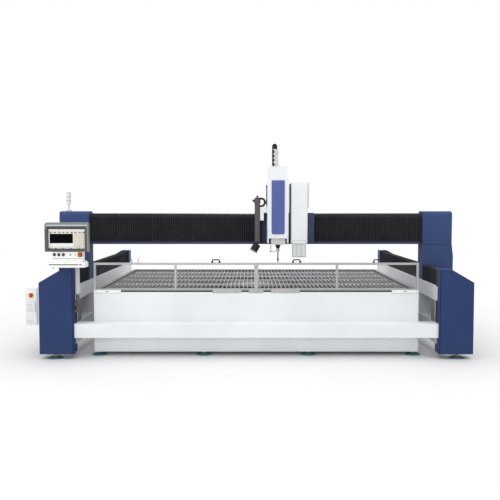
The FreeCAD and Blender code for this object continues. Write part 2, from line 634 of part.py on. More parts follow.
cover_back = f"{BEAM_BACK} + cover_overhang"
beam_run = [("beam_lip_front", f"{LIP_TOP} + soft_gap"),
            ("beam_lip_front", "cover_top - cover_chamfer"),
            ("beam_lip_front + cover_chamfer", "cover_top"), (cover_back, "cover_top"),
            (cover_back, "beam_top + soft_gap")][::-1]
for side, start, stop in (("left", f"-{LEG_INNER} + soft_gap", "saddle_left - soft_gap"),
                          ("right", f"{SADDLE_RIGHT} + soft_gap", f"{LEG_INNER} - soft_gap")):
    node(pleated_cover(f"{side}_beam_cover", beam_run, start, stop,
                       lambda across, up, along: FreeCAD.Vector(along, across, up)),
         f"{side}_beam_bellows")

# Signal lamp on the left leg: base, stalk and three segments with joints between
lamp_y = "(gantry_front + gantry_depth / 2)"
lamp = [round_bar("lamp_base", ("-lamp_post_x", lamp_y, "gantry_top"), (0, 0, 1),
                  "lamp_base_radius", "lamp_base"),
        round_bar("lamp_stalk", ("-lamp_post_x", lamp_y, "gantry_top + lamp_base"), (0, 0, 1),
                  "lamp_stalk_radius", "lamp_stalk")]
for step in range(3):
    base = f"gantry_top + lamp_base + lamp_stalk + {step} * (lamp_segment + lamp_joint)"
    lamp.append(round_bar(f"lamp_segment_{step + 1}", ("-lamp_post_x", lamp_y, base), (0, 0, 1),
                          "lamp_radius", "lamp_segment"))
    lamp.append(round_bar(f"lamp_joint_{step + 1}",
                          ("-lamp_post_x", lamp_y, f"{base} + lamp_segment"), (0, 0, 1),
                          "lamp_radius - lamp_joint / 2", "lamp_joint"))
node(fused("lamp_column", lamp), "signal_lamp")

# Carriage saddle: rides on the beam's two rails and carries both tool units
SADDLE_BACK = "(beam_front - slide_gap)"
SLOT_BACK = f"({RAIL_FACE} - slide_gap)"
SADDLE_STEP = "(beam_lip_front - saddle_shelf)"
slot_half = "(beam_rail_height / 2 + slide_gap)"
saddle = new_body("saddle_body")
saddle_run = [("saddle_front", "saddle_bottom"), (SADDLE_STEP, "saddle_bottom"),
              (SADDLE_STEP, f"{LIP_TOP} + saddle_shelf"),
              (SADDLE_BACK, f"{LIP_TOP} + saddle_shelf")]
for rail in ("low_rail", "high_rail"):
    saddle_run += [(SADDLE_BACK, f"{rail} - {slot_half}"), (SLOT_BACK, f"{rail} - {slot_half}"),
                   (SLOT_BACK, f"{rail} + {slot_half}"), (SADDLE_BACK, f"{rail} + {slot_half}")]
saddle_run += [(SADDLE_BACK, "saddle_top"), ("saddle_front", "saddle_top")]
pad(saddle, draw_outline(new_sketch(saddle, "saddle_outline", "YZ_Plane"), saddle_run),
    "saddle_width")
soften(saddle, "Chamfer", "saddle_edge", "z", lambda point: near(point.y, "saddle_front"))
node(saddle, "carriage_saddle", x="saddle_left")

# Cutting head's housing: stepped top, notch over the head, and a shaft for its slide
housing = new_body("housing_body")
notch_right = f"{HOUSING_RIGHT} - housing_flange"
pad(housing, draw_outline(new_sketch(housing, "housing_outline", "XZ_Plane"), [
    ("housing_left", "housing_bottom"), ("housing_left + housing_flange", "housing_bottom"),
    ("housing_left + housing_flange", "housing_notch"), (notch_right, "housing_notch"),
    (notch_right, "housing_bottom"), (HOUSING_RIGHT, "housing_bottom"),
    (HOUSING_RIGHT, "housing_shoulder"), (f"{HOUSING_RIGHT} - housing_step", "housing_shoulder"),
    (f"{HOUSING_RIGHT} - housing_step", "housing_top"),
    ("housing_left + housing_step", "housing_top"),
    ("housing_left + housing_step", "housing_shoulder"),
    ("housing_left", "housing_shoulder")]), "saddle_front - housing_front", backwards=True)
soften(housing, "Fillet", "housing_corner", "z",
       lambda point: near(point.y, "0") and (near(point.x, "housing_left")
                                             or near(point.x, HOUSING_RIGHT)))
pocket(housing, draw_outline(new_sketch(housing, "slide_shaft", "XY_Plane", "housing_notch"),
                             rectangle(
    f"{RAM_LEFT} - slide_gap", f"{RAM_FRONT} - slide_gap - housing_front",
    f"{RAM_LEFT} + ram_width + slide_gap",
    f"{RAM_FRONT} + ram_depth + slide_gap - housing_front")),
    "block_top + ram_length + 10 * slide_gap - housing_notch", backwards=True)
node(housing, "head_housing", y="housing_front")

front_panel = new_body("front_panel_body")
pad(front_panel, draw_outline(new_sketch(front_panel, "panel_outline", "XZ_Plane"), rectangle(
    "0", "0", "panel_width", "housing_shoulder - panel_bottom")), "panel_thickness")
soften(front_panel, "Fillet", "panel_corner", "y", lambda point: near(point.z, "0"))
node(front_panel, "housing_front_panel", "panel_left", "housing_front", "panel_bottom")

# Second tool unit: a closed housing with three guide columns below it
unit = new_body("tool_unit_body")
pad(unit, draw_outline(new_sketch(unit, "unit_outline", "XY_Plane"), rectangle(
    "0", "0", "unit_width", "saddle_front - unit_front")), "unit_top - unit_bottom")
soften(unit, "Fillet", "unit_corner", "z", lambda point: near(point.y, "0"))
locate(unit, "unit_left", "unit_front", "unit_bottom")
guides = [round_bar(f"guide_{step + 2}",
                    (f"unit_left + unit_width / 2 + {step} * guide_pitch",
                     "unit_front + guide_setback", "guide_bottom"), (0, 0, 1),
                    "guide_radius", "unit_bottom - guide_bottom") for step in (-1, 0, 1)]
node(fused("tool_unit_with_guides", [unit] + guides), "tool_unit")

# Work lamp: an upright tube, clamped to the housing, with a tilted spot below it
tube = [round_bar("lamp_tube", ("lamp_x", "lamp_y", "tube_bottom"), (0, 0, 1),
                  "tube_radius", "tube_top - tube_bottom"),
        round_bar("lamp_tube_knob", ("lamp_x", "lamp_y", "tube_top"), (0, 0, 1),
                  "tube_knob_radius", "tube_knob"),
        round_bar("lamp_clamp_ring", ("lamp_x", "lamp_y", "ring_bottom"), (0, 0, 1),
                  "tube_radius + ring_wall", "ring_height"),
        block("lamp_bracket_plate", ("lamp_x", "lamp_y - bracket_depth / 2", "bracket_bottom"),
              ("lamp_x + bracket_width", "lamp_y + bracket_depth / 2",
               "bracket_bottom + bracket_height")),
        block("lamp_bracket_arm", ("lamp_x", "lamp_y - bracket_depth / 2",
                                   "bracket_bottom + bracket_height - bracket_arm"),
              ("housing_left", "lamp_y + bracket_depth / 2", "bracket_bottom + bracket_height"))]
node(fused("lamp_tube_and_clamp", tube), "work_lamp_tube")

tilt = math.radians(value("spot_tilt"))
spot_axis = (-math.sin(tilt), 0, -math.cos(tilt))
spot_start = f"(tube_bottom - spot_radius * {math.sin(tilt):.6f} - spot_rim)"
spot = [round_bar("spot_barrel", ("lamp_x", "lamp_y", spot_start), spot_axis,
                  "spot_radius", "spot_length - spot_rim"),
        round_bar("spot_bezel", (f"lamp_x + (spot_length - spot_rim) * {spot_axis[0]:.6f}", "lamp_y",
                                 f"{spot_start} + (spot_length - spot_rim) * {spot_axis[2]:.6f}"),
                  spot_axis, "spot_radius + spot_rim", "spot_rim"),
        round_bar("spot_neck", ("lamp_x", "lamp_y", f"{spot_start} - spot_rim"), (0, 0, 1),
                  "tube_knob_radius", f"tube_bottom - {spot_start} + spot_rim")]
node(fused("spot_with_neck", spot), "work_lamp_spot")


def chain_link(length, width, thickness, plate):
    """Two round-ended side plates joined by a bar above and a bar below."""
    pieces = []
    for side in (-1, 1):
        middle = side * (width - plate) / 2 - plate / 2
        pieces.append(Part.makeBox(length, plate, thickness,
                                   FreeCAD.Vector(0, middle, -thickness / 2)))
        for end in (0, length):
            pieces.append(Part.makeCylinder(thickness / 2, plate, FreeCAD.Vector(end, middle, 0),
                                            FreeCAD.Vector(0, 1, 0)))
    bar = plate * 2 / 3
    for low in (-thickness / 2, thickness / 2 - bar):
        pieces.append(Part.makeBox(length / 2, width - 2 * plate, bar,
                                   FreeCAD.Vector(length / 4, plate - width / 2, low)))
    return pieces[0].multiFuse(pieces[1:])


def energy_chain():
    """The chain as one fixed loop: up, over two sloping links, and down again on its foot."""
    pitch = value("chain_pitch")
    count = int(value("chain_links"))
    foot_top = value("housing_top + chain_foot")
    thickness = value("chain_thickness")
    first_pivot = foot_top + thickness / 2 - value("chain_foot") / 4
    rise = [(-pitch / 2, step * pitch, 90) for step in range(count)]
    top = count * pitch
    over = [(-pitch / 2, top, 60), (0, top + pitch * math.sin(math.radians(60)), -60)]
    fall = [(pitch / 2, step * pitch, 90) for step in range(count)]
    pieces = []
    for number, (across, up, angle) in enumerate(rise + over + fall):
        plate_width = value("chain_width") - number % 2 * 2 * value("chain_plate")
        link = chain_link(pitch, plate_width, thickness, value("chain_plate"))
        link.rotate(FreeCAD.Vector(0, 0, 0), FreeCAD.Vector(0, 1, 0), -angle)
        link.translate(FreeCAD.Vector(value("chain_x") + across, value("chain_y"),
                                      first_pivot + up))
        pieces.append(link)
    base = Part.makeBox(pitch + 2 * thickness, value("chain_width"),
                        foot_top - value("housing_top"),
                        FreeCAD.Vector(value("chain_x") - pitch / 2 - thickness,
                                       value("chain_y - chain_width / 2"), value("housing_top")))
    return base.multiFuse(pieces).removeSplitter()


chain = doc.addObject("Part::Feature", "chain_loop")
chain.Shape = energy_chain()
node(chain, "energy_chain")

# Cutting head: slide in the housing, block, nut and nozzle
ram = new_body("ram_body")
pad(ram, draw_outline(new_sketch(ram, "ram_outline", "XY_Plane"), rectangle(
    "0", "0", "ram_width", "ram_depth")), "ram_length")
soften(ram, "Chamfer", "ram_corner", "z", lambda point: True)
node(ram, "head_slide", RAM_LEFT, RAM_FRONT, "block_top")

head_block = new_body("head_block_body")
pad(head_block, draw_outline(new_sketch(head_block, "block_outline", "XZ_Plane"), [
    ("block_width / 8", "0"), ("block_width * 7 / 8", "0"),
    ("block_width", "block_width / 8"), ("block_width", "block_top - block_bottom"),
    ("0", "block_top - block_bottom"), ("0", "block_width / 8")]), "block_depth", backwards=True)
soften(head_block, "Chamfer", "block_corner", "z", lambda point: near(point.y, "0"))
node(head_block, "head_block", "head_x - block_width / 2", "head_y - block_depth / 2",
     "block_bottom")

nut = doc.addObject("Part::Cone", "nut_cone")
bind(nut, "Radius1", "nut_tip_radius")
bind(nut, "Radius2", "nut_radius")
bind(nut, "Height", "block_bottom - nut_bottom")
node(nut, "head_nut", "head_x", "head_y", "nut_bottom")

ball = doc.addObject("Part::Sphere", "nozzle_ball")
bind(ball, "Radius", "ball_radius")
locate(ball, "head_x", "head_y", "ball_height")
tip = doc.addObject("Part::Cone", "nozzle_tip_cone")
bind(tip, "Radius1", "tip_radius")
bind(tip, "Radius2", "nozzle_radius")
bind(tip, "Height", "2 * nozzle_radius")
locate(tip, "head_x", "head_y", "nozzle_tip")
nozzle_tube = round_bar("nozzle_tube", ("head_x", "head_y", "nozzle_tip + 2 * nozzle_radius"),
                        (0, 0, 1), "nozzle_radius",
                        "nut_bottom - nozzle_tip - 2 * nozzle_radius")
node(fused("nozzle_assembly", [nozzle_tube, tip, ball]), "cutting_nozzle")

# Console: stem clamped to the column, post, keyboard shelf, button panel, hood and screen panel
post_spot = ("-console_post_x", "console_post_y", "console_post_bottom")
node(round_bar("console_post_tube", post_spot, (0, 0, 1), "console_post_radius",
               "shelf_bottom - console_post_bottom"), "console_post", *post_spot)
stem = [round_bar("console_stem_bar", ("-console_post_x", "console_post_y", "console_stem_bottom"),
                  (0, 0, 1), "console_stem_radius", "console_post_bottom - console_stem_bottom")]
for name, height in (("low", "console_stem_bottom - clamp_drop"),
                     ("high", "console_stem_bottom - clamp_drop + clamp_rise")):
    stem.append(block(f"{name}_console_clamp",
                      ("-(column_inner + cheek)", "console_post_y - clamp_width / 2", height),
                      ("-console_post_x + console_stem_radius", "console_post_y + clamp_width / 2",
                       f"{height} + clamp_height")))
node(fused("console_stem_and_clamps", stem), "console_stem")

shelf = new_body("shelf_body")
box_right = "shelf_right + shelf_width - buttons_right"
box_left = f"{box_right} - buttons_width"
pad(shelf, draw_outline(new_sketch(shelf, "shelf_outline", "XY_Plane"), [
    ("0", "0"), ("shelf_width", "0"), ("shelf_width", "tray_depth"), (box_right, "tray_depth"),
    (box_right, "shelf_depth"), (box_left, "shelf_depth"), (box_left, "tray_depth"),
    ("0", "tray_depth")]), "shelf_height")
soften(shelf, "Fillet", "shelf_corner", "z", lambda point: near(point.y, "0"))
pocket(shelf, draw_outline(new_sketch(shelf, "drawer_slot", "XZ_Plane"), rectangle(
    "slot_margin", "slot_rise", "shelf_width - slot_margin", "slot_rise + slot_height")),
    "slot_depth")
node(shelf, "keyboard_shelf", "-(shelf_right + shelf_width)", "shelf_front", "shelf_bottom")

plate("button_panel", (f"-{BUTTONS_LEFT}", "buttons_front", "shelf_bottom + shelf_height"),
      ("-buttons_right", "buttons_front + buttons_depth", "hood_bottom"))

hood = new_body("hood_body")
hood_height = "hood_top - hood_bottom"
pad(hood, draw_outline(new_sketch(hood, "hood_outline", "XZ_Plane"), rectangle(
    "0", "0", "hood_width", hood_height)), "hood_depth", backwards=True)
soften(hood, "Fillet", "hood_corner", "y", lambda point: near(point.z, hood_height))
pocket(hood, draw_outline(new_sketch(hood, "hood_opening", "XZ_Plane"), rectangle(
    "hood_wall", "hood_wall", "hood_width - hood_wall", f"{hood_height} - 2 * hood_wall")),
    "hood_recess")
node(hood, "console_hood", "-(hood_right + hood_width)", "hood_front", "hood_bottom")

screen = new_body("screen_body")
panel_width = "(hood_width - 2 * hood_wall - 2 * screen_margin)"
panel_height = f"({hood_height} - 3 * hood_wall - screen_rise - screen_drop)"
pad(screen, draw_outline(new_sketch(screen, "screen_outline", "XZ_Plane"), rectangle(
    "0", "0", panel_width, panel_height)), "screen_thickness")
pocket(screen, draw_outline(new_sketch(screen, "screen_window", "XZ_Plane", "screen_thickness"),
                            rectangle(
    "screen_window_left", "screen_window_bottom", "screen_window_left + screen_window_width",
    "screen_window_bottom + screen_window_height")), "screen_window_depth")
node(screen, "screen_panel", "-(hood_right + hood_width) + hood_wall + screen_margin",
     "hood_front + hood_recess", "hood_bottom + hood_wall + screen_rise")

controls = [round_bar(f"selector_knob_{step + 1}",
                      (f"-{BUTTONS_LEFT} + knob_first + {step} * knob_pitch", "buttons_front",
                       "knob_height"), (0, -1, 0), "knob_radius", "knob_length")
            for step in range(3)]
collar = doc.addObject("Part::Cut", "stop_collar")
collar.Base = round_bar("collar_disc", ("-stop_x", "buttons_front", "knob_height"), (0, -1, 0),
                        "stop_collar", "stop_collar_depth")
collar.Tool = round_bar("collar_bore", ("-stop_x", "buttons_front", "knob_height"), (0, -1, 0),
                        "stop_stem_radius + slide_gap", "2 * stop_collar_depth")
node(grouped("panel_control_set", controls + [collar]), "panel_controls")

stop_head = "buttons_front - stop_collar_depth - stop_gap"
stop = [round_bar("stop_stem", ("-stop_x", stop_head, "knob_height"), (0, 1, 0),
                  "stop_stem_radius", "stop_gap + slide_gap"),
        round_bar("stop_mushroom", ("-stop_x", stop_head, "knob_height"), (0, -1, 0),
                  "stop_radius", "stop_head")]
node(fused("stop_button", stop), "emergency_stop")

# Electrical cabinet on two brackets, with its door and main switch
cabinet_back = "cabinet_front + cabinet_depth"
cabinet_left = "-cabinet_outer"
CABINET_RIGHT = "(-cabinet_outer + cabinet_width)"
BODY_FRONT = "(cabinet_front + door_thickness + door_gap)"
cabinet = new_body("cabinet_body")
pad(cabinet, draw_outline(new_sketch(cabinet, "cabinet_outline", "XY_Plane"), rectangle(
    "0", "0", "cabinet_width", "cabinet_depth - door_thickness - door_gap")),
    "cabinet_top - cabinet_bottom")
soften(cabinet, "Fillet", "cabinet_corner", "z", lambda point: point.y > 1)
locate(cabinet, cabinet_left, BODY_FRONT, "cabinet_bottom")
brackets = []
for name, height in (("low", "lower_beam_bottom + lower_beam_height - bracket_thickness"),
                     ("high", "cabinet_top - bracket_inset - bracket_thickness")):
    brackets.append(block(f"{name}_cabinet_bracket",
                          (CABINET_RIGHT, f"{BODY_FRONT} + bracket_inset", height),
                          (f"-{BEAM_OUTER} - side_panel", f"{cabinet_back} - bracket_inset",
                           f"{height} + bracket_thickness")))
node(fused("cabinet_with_brackets", [cabinet] + brackets), "electrical_cabinet")

door = new_body("door_body")
door_height = "(cabinet_top - cabinet_bottom - 2 * door_margin)"
pad(door, draw_outline(new_sketch(door, "door_outline", "XZ_Plane"), rectangle(
    "0", "0", "door_width", door_height)), "door_thickness", backwards=True)
louvre_left = "(door_width - louvre_width) / 2"
louvre_low = "louvre_bottom - cabinet_bottom - door_margin"
louvre = pocket(door, draw_outline(new_sketch(door, "louvre_outline", "XZ_Plane"), rectangle(
    louvre_left, louvre_low, f"{louvre_left} + louvre_width", f"{louvre_low} + louvre_height")),
    "louvre_depth")
repeat(door, louvre, "Z_Axis", "louvre_pitch", "louvre_count")
locate(door, f"{cabinet_left} + door_margin", "cabinet_front", "cabinet_bottom + door_margin")
switch_plate = block("switch_plate",
                     ("-switch_x - switch_radius", "cabinet_front - switch_plate",
                      "switch_height - switch_radius"),
                     ("-switch_x + switch_radius", "cabinet_front",
                      "switch_height + switch_radius"))
knuckles = [round_bar(f"{name}_hinge_knuckle",
                      (f"{cabinet_left} + door_margin", "cabinet_front", height), (0, 0, 1),
                      "switch_plate", "2 * switch_radius")
            for name, height in (("low", "cabinet_bottom + 2 * switch_radius"),
                                 ("high", "cabinet_top - 4 * switch_radius"))]
node(fused("door_with_plate", [door, switch_plate] + knuckles), "cabinet_door")

switch_face = "cabinet_front - switch_plate - door_gap"
switch = [round_bar("switch_disc", ("-switch_x", switch_face, "switch_height"), (0, -1, 0),
                    "switch_radius * 5 / 6", "switch_plate"),
          block("switch_handle_bar",
                ("-switch_x - switch_handle_width / 2", f"{switch_face} - switch_handle",
                 "switch_height - switch_radius * 4 / 5"),
                ("-switch_x + switch_handle_width / 2", switch_face,
                 "switch_height + switch_radius * 4 / 5"))]
node(fused("rotary_switch", switch), "main_switch")

doc.recompute()
for item in doc.Objects:
    if "Invalid" in item.State or "Error" in item.State:
        raise ValueError(f"{item.Name} ({item.Label}) failed: {item.State}")
os.makedirs("parts", exist_ok=True)
for item in nodes:
    if item.Shape.isNull() or not item.Shape.isValid():
        raise ValueError(f"{item.Label} has no valid shape")
for item in nodes:
    item.Shape.exportStep(f"parts/{item.Label}.step")
    box = item.Shape.BoundBox
    print(f"{item.Label}: {len(item.Shape.Solids)} solid(s), "
          f"{item.Shape.Volume / 1e9:.4f} m3, X {box.XMin:.1f} to {box.XMax:.1f}, "
          f"Y {box.YMin:.1f} to {box.YMax:.1f}, Z {box.ZMin:.1f} to {box.ZMax:.1f}")
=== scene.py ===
"""Looks of the waterjet cutting machine: paint, steel, pleated covers, clear panes and small parts."""

import math

import bpy
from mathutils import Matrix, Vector


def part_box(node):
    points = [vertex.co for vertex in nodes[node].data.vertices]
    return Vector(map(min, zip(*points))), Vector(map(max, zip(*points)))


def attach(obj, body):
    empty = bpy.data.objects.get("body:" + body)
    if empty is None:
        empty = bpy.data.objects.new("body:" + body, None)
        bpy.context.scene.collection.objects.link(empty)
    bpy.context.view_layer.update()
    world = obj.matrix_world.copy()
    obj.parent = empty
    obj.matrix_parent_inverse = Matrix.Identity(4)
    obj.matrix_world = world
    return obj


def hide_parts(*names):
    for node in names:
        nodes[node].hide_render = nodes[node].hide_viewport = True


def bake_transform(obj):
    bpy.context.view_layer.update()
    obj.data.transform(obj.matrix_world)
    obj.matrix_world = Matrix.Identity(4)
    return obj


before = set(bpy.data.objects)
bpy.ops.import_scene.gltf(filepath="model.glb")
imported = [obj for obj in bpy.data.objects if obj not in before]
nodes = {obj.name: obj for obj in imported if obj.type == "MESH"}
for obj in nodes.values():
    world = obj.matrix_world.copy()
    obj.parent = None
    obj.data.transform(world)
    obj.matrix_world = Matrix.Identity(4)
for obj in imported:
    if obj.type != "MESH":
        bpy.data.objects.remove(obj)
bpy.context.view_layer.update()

ORIGIN = (0, 0, 0)
UP = (0, 0, 1)
TO_FRONT = (0, -1, 0)


# Shop tools: how new pieces are modelled

def let_go():
    """Leave edit mode and select nothing."""
    if bpy.context.object and bpy.context.object.mode != "OBJECT":
        bpy.ops.object.mode_set(mode="OBJECT")
    bpy.ops.object.select_all(action="DESELECT")


def take(piece):
    """Select one piece alone and make it the active one."""
    let_go()
    piece.select_set(True)
    bpy.context.view_layer.objects.active = piece
    return piece


def settle(name):
    """Name the new primitive and put its place into its mesh."""
    piece = bpy.context.object
    piece.name = name
    piece.data.name = name
    bpy.ops.object.transform_apply(location=True, rotation=True, scale=True)
    return piece


def worked(piece, kind, **settings):
    """Put a modifier on a piece and apply it."""
    take(piece)
    modifier = piece.modifiers.new(kind.lower(), kind)
    for name, setting in settings.items():
        setattr(modifier, name, setting)
    bpy.ops.object.modifier_apply(modifier=modifier.name)
    return piece


def softened(piece, width, segments=2, angle=30):
    """Round a piece's edges."""
    return worked(piece, "BEVEL", width=width, segments=segments, limit_method="ANGLE",
                  angle_limit=math.radians(angle))


def slab(name, low, high, edge=0.001, segments=2, tilt=(0, 0, 0)):
    """A plate or box between two corners, its edges rounded, tilted about its middle."""
    let_go()
    low, high = Vector(low), Vector(high)
    bpy.ops.mesh.primitive_cube_add(size=1, location=(low + high) / 2, scale=high - low, rotation=tilt)
    return softened(settle(name), edge, segments)


def plate(name, face, across, upright, proud=0.0012, edge=0.0004, sunk=0.001):
    """A thin plate on a face that looks to the front, between two places across and two heights."""
    return slab(name, (across[0], face - proud, upright[0]), (across[1], face + sunk, upright[1]), edge)


def opened(piece):
    """Go into edit mode with the whole piece selected."""
    take(piece)
    bpy.ops.object.mode_set(mode="EDIT")
    bpy.context.tool_settings.mesh_select_mode = (False, False, True)
    bpy.ops.mesh.select_all(action="SELECT")


def turned(name, foot, axis, steps, sides=24):
    """A turned part: a disc at its foot, drawn out along an axis through (radius, distance) steps."""
    let_go()
    foot, run = Vector(foot), Vector(axis).normalized()
    radius, along = steps[0]
    bpy.ops.mesh.primitive_circle_add(vertices=sides, radius=radius, fill_type="NGON",
                                      location=foot + run * along,
                                      rotation=run.to_track_quat("Z", "Y").to_euler())
    piece = settle(name)
    bpy.ops.object.mode_set(mode="EDIT")
    bpy.ops.mesh.select_all(action="SELECT")
    for wide, far in steps[1:]:
        bpy.ops.mesh.extrude_region_move(TRANSFORM_OT_translate={"value": run * (far - along)})
        if abs(wide - radius) > 1e-7:
            bpy.ops.transform.resize(value=(wide / radius,) * 3, center_override=foot + run * far)
        radius, along = wide, far
    bpy.ops.mesh.select_all(action="SELECT")
    bpy.ops.mesh.normals_make_consistent(inside=False)
    bpy.ops.object.mode_set(mode="OBJECT")
    bpy.ops.object.shade_smooth_by_angle(angle=math.radians(35))
    return piece


def rod(name, start, end, radius, edge=0.001, sides=24):
    """A round bar between two points, with broken edges."""
    start, end = Vector(start), Vector(end)
    length = (end - start).length
    return turned(name, start, end - start,
                  [(radius - edge, 0), (radius, edge), (radius, length - edge), (radius - edge, length)],
                  sides)


def joined(name, pieces):
    """Several pieces as one."""
    take(pieces[0])
    for piece in pieces[1:]:
        piece.select_set(True)
    bpy.ops.object.join()
    return settle(name)


def copied(name, pattern, places):
    """Copies of a pattern piece at several places, as one piece."""
    twins = []
    for place in places:
        twin = pattern.copy()
        twin.data = pattern.data.copy()
        twin.location = place
        bpy.context.collection.objects.link(twin)
        twins.append(twin)
    bpy.data.objects.remove(pattern)
    return joined(name, twins)


def bent_tube(name, points, radius, sides=4):
    """A bent tube that follows a smooth line."""
    let_go()
    line = bpy.data.curves.new(name, "CURVE")
    line.dimensions = "3D"
    spline = line.splines.new("NURBS")
    spline.points.add(len(points) - 1)
    for point, place in zip(spline.points, points):
        point.co = (*place, 1)
    spline.order_u = 3
    spline.use_endpoint_u = True
    line.bevel_depth = radius
    line.bevel_resolution = sides
    line.use_fill_caps = True
    piece = bpy.data.objects.new(name, line)
    bpy.context.collection.objects.link(piece)
    take(piece)
    bpy.ops.object.convert(target="MESH")
    bpy.ops.object.shade_smooth()
    return bpy.context.object


def fitted(piece, body, finish, slot=None):
    """Give a piece its finish and hang it on its body. The slot that goes with the finish is looked up
    but not set on the piece.
    """
    slot = slot or slot_of[finish.name]
    piece.data.materials.clear()
    piece.data.materials.append(finish)
    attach(piece, body)
    return piece


def assembled(name, pieces, body, finish):
    """Several pieces joined and fitted as one."""
    return fitted(joined(name, pieces), body, finish)


# Finishes

class Tone:
    """A shader socket that takes part in plain sums."""

    def __init__(self, finish, socket):
        self.finish = finish
        self.socket = socket

    def sum(self, operation, first, second):
        return self.finish.node("ShaderNodeMath", {"operation": operation}, {0: first, 1: second})

    def __add__(self, other):
        return self.sum("ADD", self, other)

    def __radd__(self, other):
        return self.sum("ADD", other, self)

    def __sub__(self, other):
        return self.sum("SUBTRACT", self, other)

    def __rsub__(self, other):
        return self.sum("SUBTRACT", other, self)

    def __mul__(self, other):
        return self.sum("MULTIPLY", self, other)

    def __rmul__(self, other):
        return self.sum("MULTIPLY", other, self)

    def __lt__(self, other):
        return self.sum("LESS_THAN", self, other)

    def __gt__(self, other):
        return self.sum("GREATER_THAN", self, other)


class NodeBoard:
    """The shader nodes of a material or of the world, laid one by one."""

    def __init__(self, holder):
        holder.use_nodes = True
        self.tree = holder.node_tree
        self.tree.nodes.clear()

    def node(self, kind, settings=None, inputs=None, output=0):
        made = self.tree.nodes.new(kind)
        for name, setting in (settings or {}).items():
            if name == "stops":
                stops = made.color_ramp.elements
                while len(stops) < len(setting):
                    stops.new(1)
                for stop, (at, colour) in zip(stops, setting):
                    stop.position = at
                    stop.color = (*colour, 1)
            else:
                setattr(made, name, setting)
        for name, entry in (inputs or {}).items():
            if isinstance(entry, Tone):
                self.tree.links.new(entry.socket, made.inputs[name])
            else:
                made.inputs[name].default_value = entry
        return Tone(self, made.outputs[output])

    def seen(self, ray):
        """1 where a ray of this kind looks, else 0."""
        return self.node("ShaderNodeLightPath", output=ray)

    def larger(self, first, second):
        return self.node("ShaderNodeMath", {"operation": "MAXIMUM"}, {0: first, 1: second})

    def close(self, kind, shader):
        """End the nodes with their output."""
        self.tree.links.new(shader.socket, self.tree.nodes.new(kind).inputs["Surface"])


class Finish(NodeBoard):
    """A material and what its surface varies with."""

    def __init__(self, name):
        self.material = bpy.data.materials.new(name)
        super().__init__(self.material)
        self.place = self.node("ShaderNodeTexCoord", output="Object")

    def stretched(self, scale):
        """The place on the piece, scaled by its own factor along each axis."""
        return self.node("ShaderNodeMapping", None, {"Vector": self.place, "Scale": scale})

    def noise(self, scale, detail=2, source=None):
        return self.node("ShaderNodeTexNoise", None,
                         {"Vector": source or self.place, "Scale": scale, "Detail": detail})

    def height(self):
        """How high a point lies above the floor, in metres."""
        return self.node("ShaderNodeSeparateXYZ", None, {0: self.place}, "Z")

    def ramp(self, factor, low, high):
        """0 below one value of a factor, 1 above another, and straight between."""
        return self.node("ShaderNodeMapRange", None,
                         {"Value": factor, "From Min": low, "From Max": high})

    def mixed(self, first, second, factor):
        return self.node("ShaderNodeMix", {"data_type": "RGBA"},
                         {0: factor, 6: self.colour(first), 7: self.colour(second)}, 2)

    def colour(self, entry):
        return entry if isinstance(entry, Tone) else (*entry, 1)

    def bump(self, height, distance, strength=1):
        return self.node("ShaderNodeBump", None,
                         {"Height": height, "Distance": distance, "Strength": strength}, "Normal")

    def surface(self, colour, roughness, **inputs):
        """Close the material with its shader and hand it over."""
        entries = {"Base Color": self.colour(colour), "Roughness": roughness}
        entries.update({name.replace("_", " "): entry for name, entry in inputs.items()})
        shader = self.node("ShaderNodeBsdfPrincipled", None, entries)
        self.close("ShaderNodeOutputMaterial", shader)
        return self.material


def shade(colour, factor):
    return tuple(min(1, part * factor) for part in colour)


def satin_paint(name, colour, roughness=0.45, soil=0.1, shine=0.2):
    """Sprayed satin paint: faint mottling, orange peel, and dust that settles low down."""
    finish = Finish(name)
    mottle = finish.ramp(finish.noise(1.7, 4), 0.35, 0.65)
    coat = finish.mixed(shade(colour, 0.97), shade(colour, 1.03), mottle)
    low = finish.ramp(finish.height(), 0.3, 0.0)
    specks = finish.ramp(finish.noise(30, 5), 0.4, 0.75)
    dusty = finish.mixed(coat, (0.42, 0.41, 0.38), low * specks * soil)
    smear = finish.ramp(finish.noise(3, 5, finish.stretched((1, 1, 0.25))), 0.4, 0.7)
    peel = finish.noise(260, 2)
    return finish.surface(dusty, roughness - 0.07 + 0.14 * smear, Specular_IOR_Level=shine,
                          Normal=finish.bump(peel, 0.0003, 0.25))


def drawn_steel(name, colour, roughness=0.32, along=(60, 60, 2), metallic=0.85):
    """Brushed or ground steel with fine lines along one axis and a few dull patches."""
    finish = Finish(name)
    lines = finish.noise(12, 5, finish.stretched(along))
    patch = finish.ramp(finish.noise(4, 4), 0.4, 0.68)
    metal = finish.mixed(shade(colour, 0.82), shade(colour, 1.12), lines)
    dull = finish.mixed(metal, shade(colour, 0.7), patch * 0.35)
    return finish.surface(dull, roughness - 0.08 + 0.2 * lines + 0.1 * patch, Metallic=metallic,
                          Normal=finish.bump(lines, 0.0002, 0.3))


def moulded(name, colour, roughness=0.45, grain=500):
    """Moulded plastic or rubber with a fine grain and finger marks."""
    finish = Finish(name)
    marks = finish.ramp(finish.noise(22, 3), 0.42, 0.66)
    tone = finish.mixed(shade(colour, 0.97), shade(colour, 1.03), marks)
    return finish.surface(tone, roughness - 0.06 + 0.12 * marks, Specular_IOR_Level=0.25,
                          Normal=finish.bump(finish.noise(grain, 1), 0.0002, 0.25))


bed_low, bed_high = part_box("slat_bed")
TIE_PITCH = (bed_high.y - bed_low.y) / 5
FIRST_TIE = bed_low.y + TIE_PITCH / 2 + 0.008
TIE_COLOUR = (0.80, 0.81, 0.82)


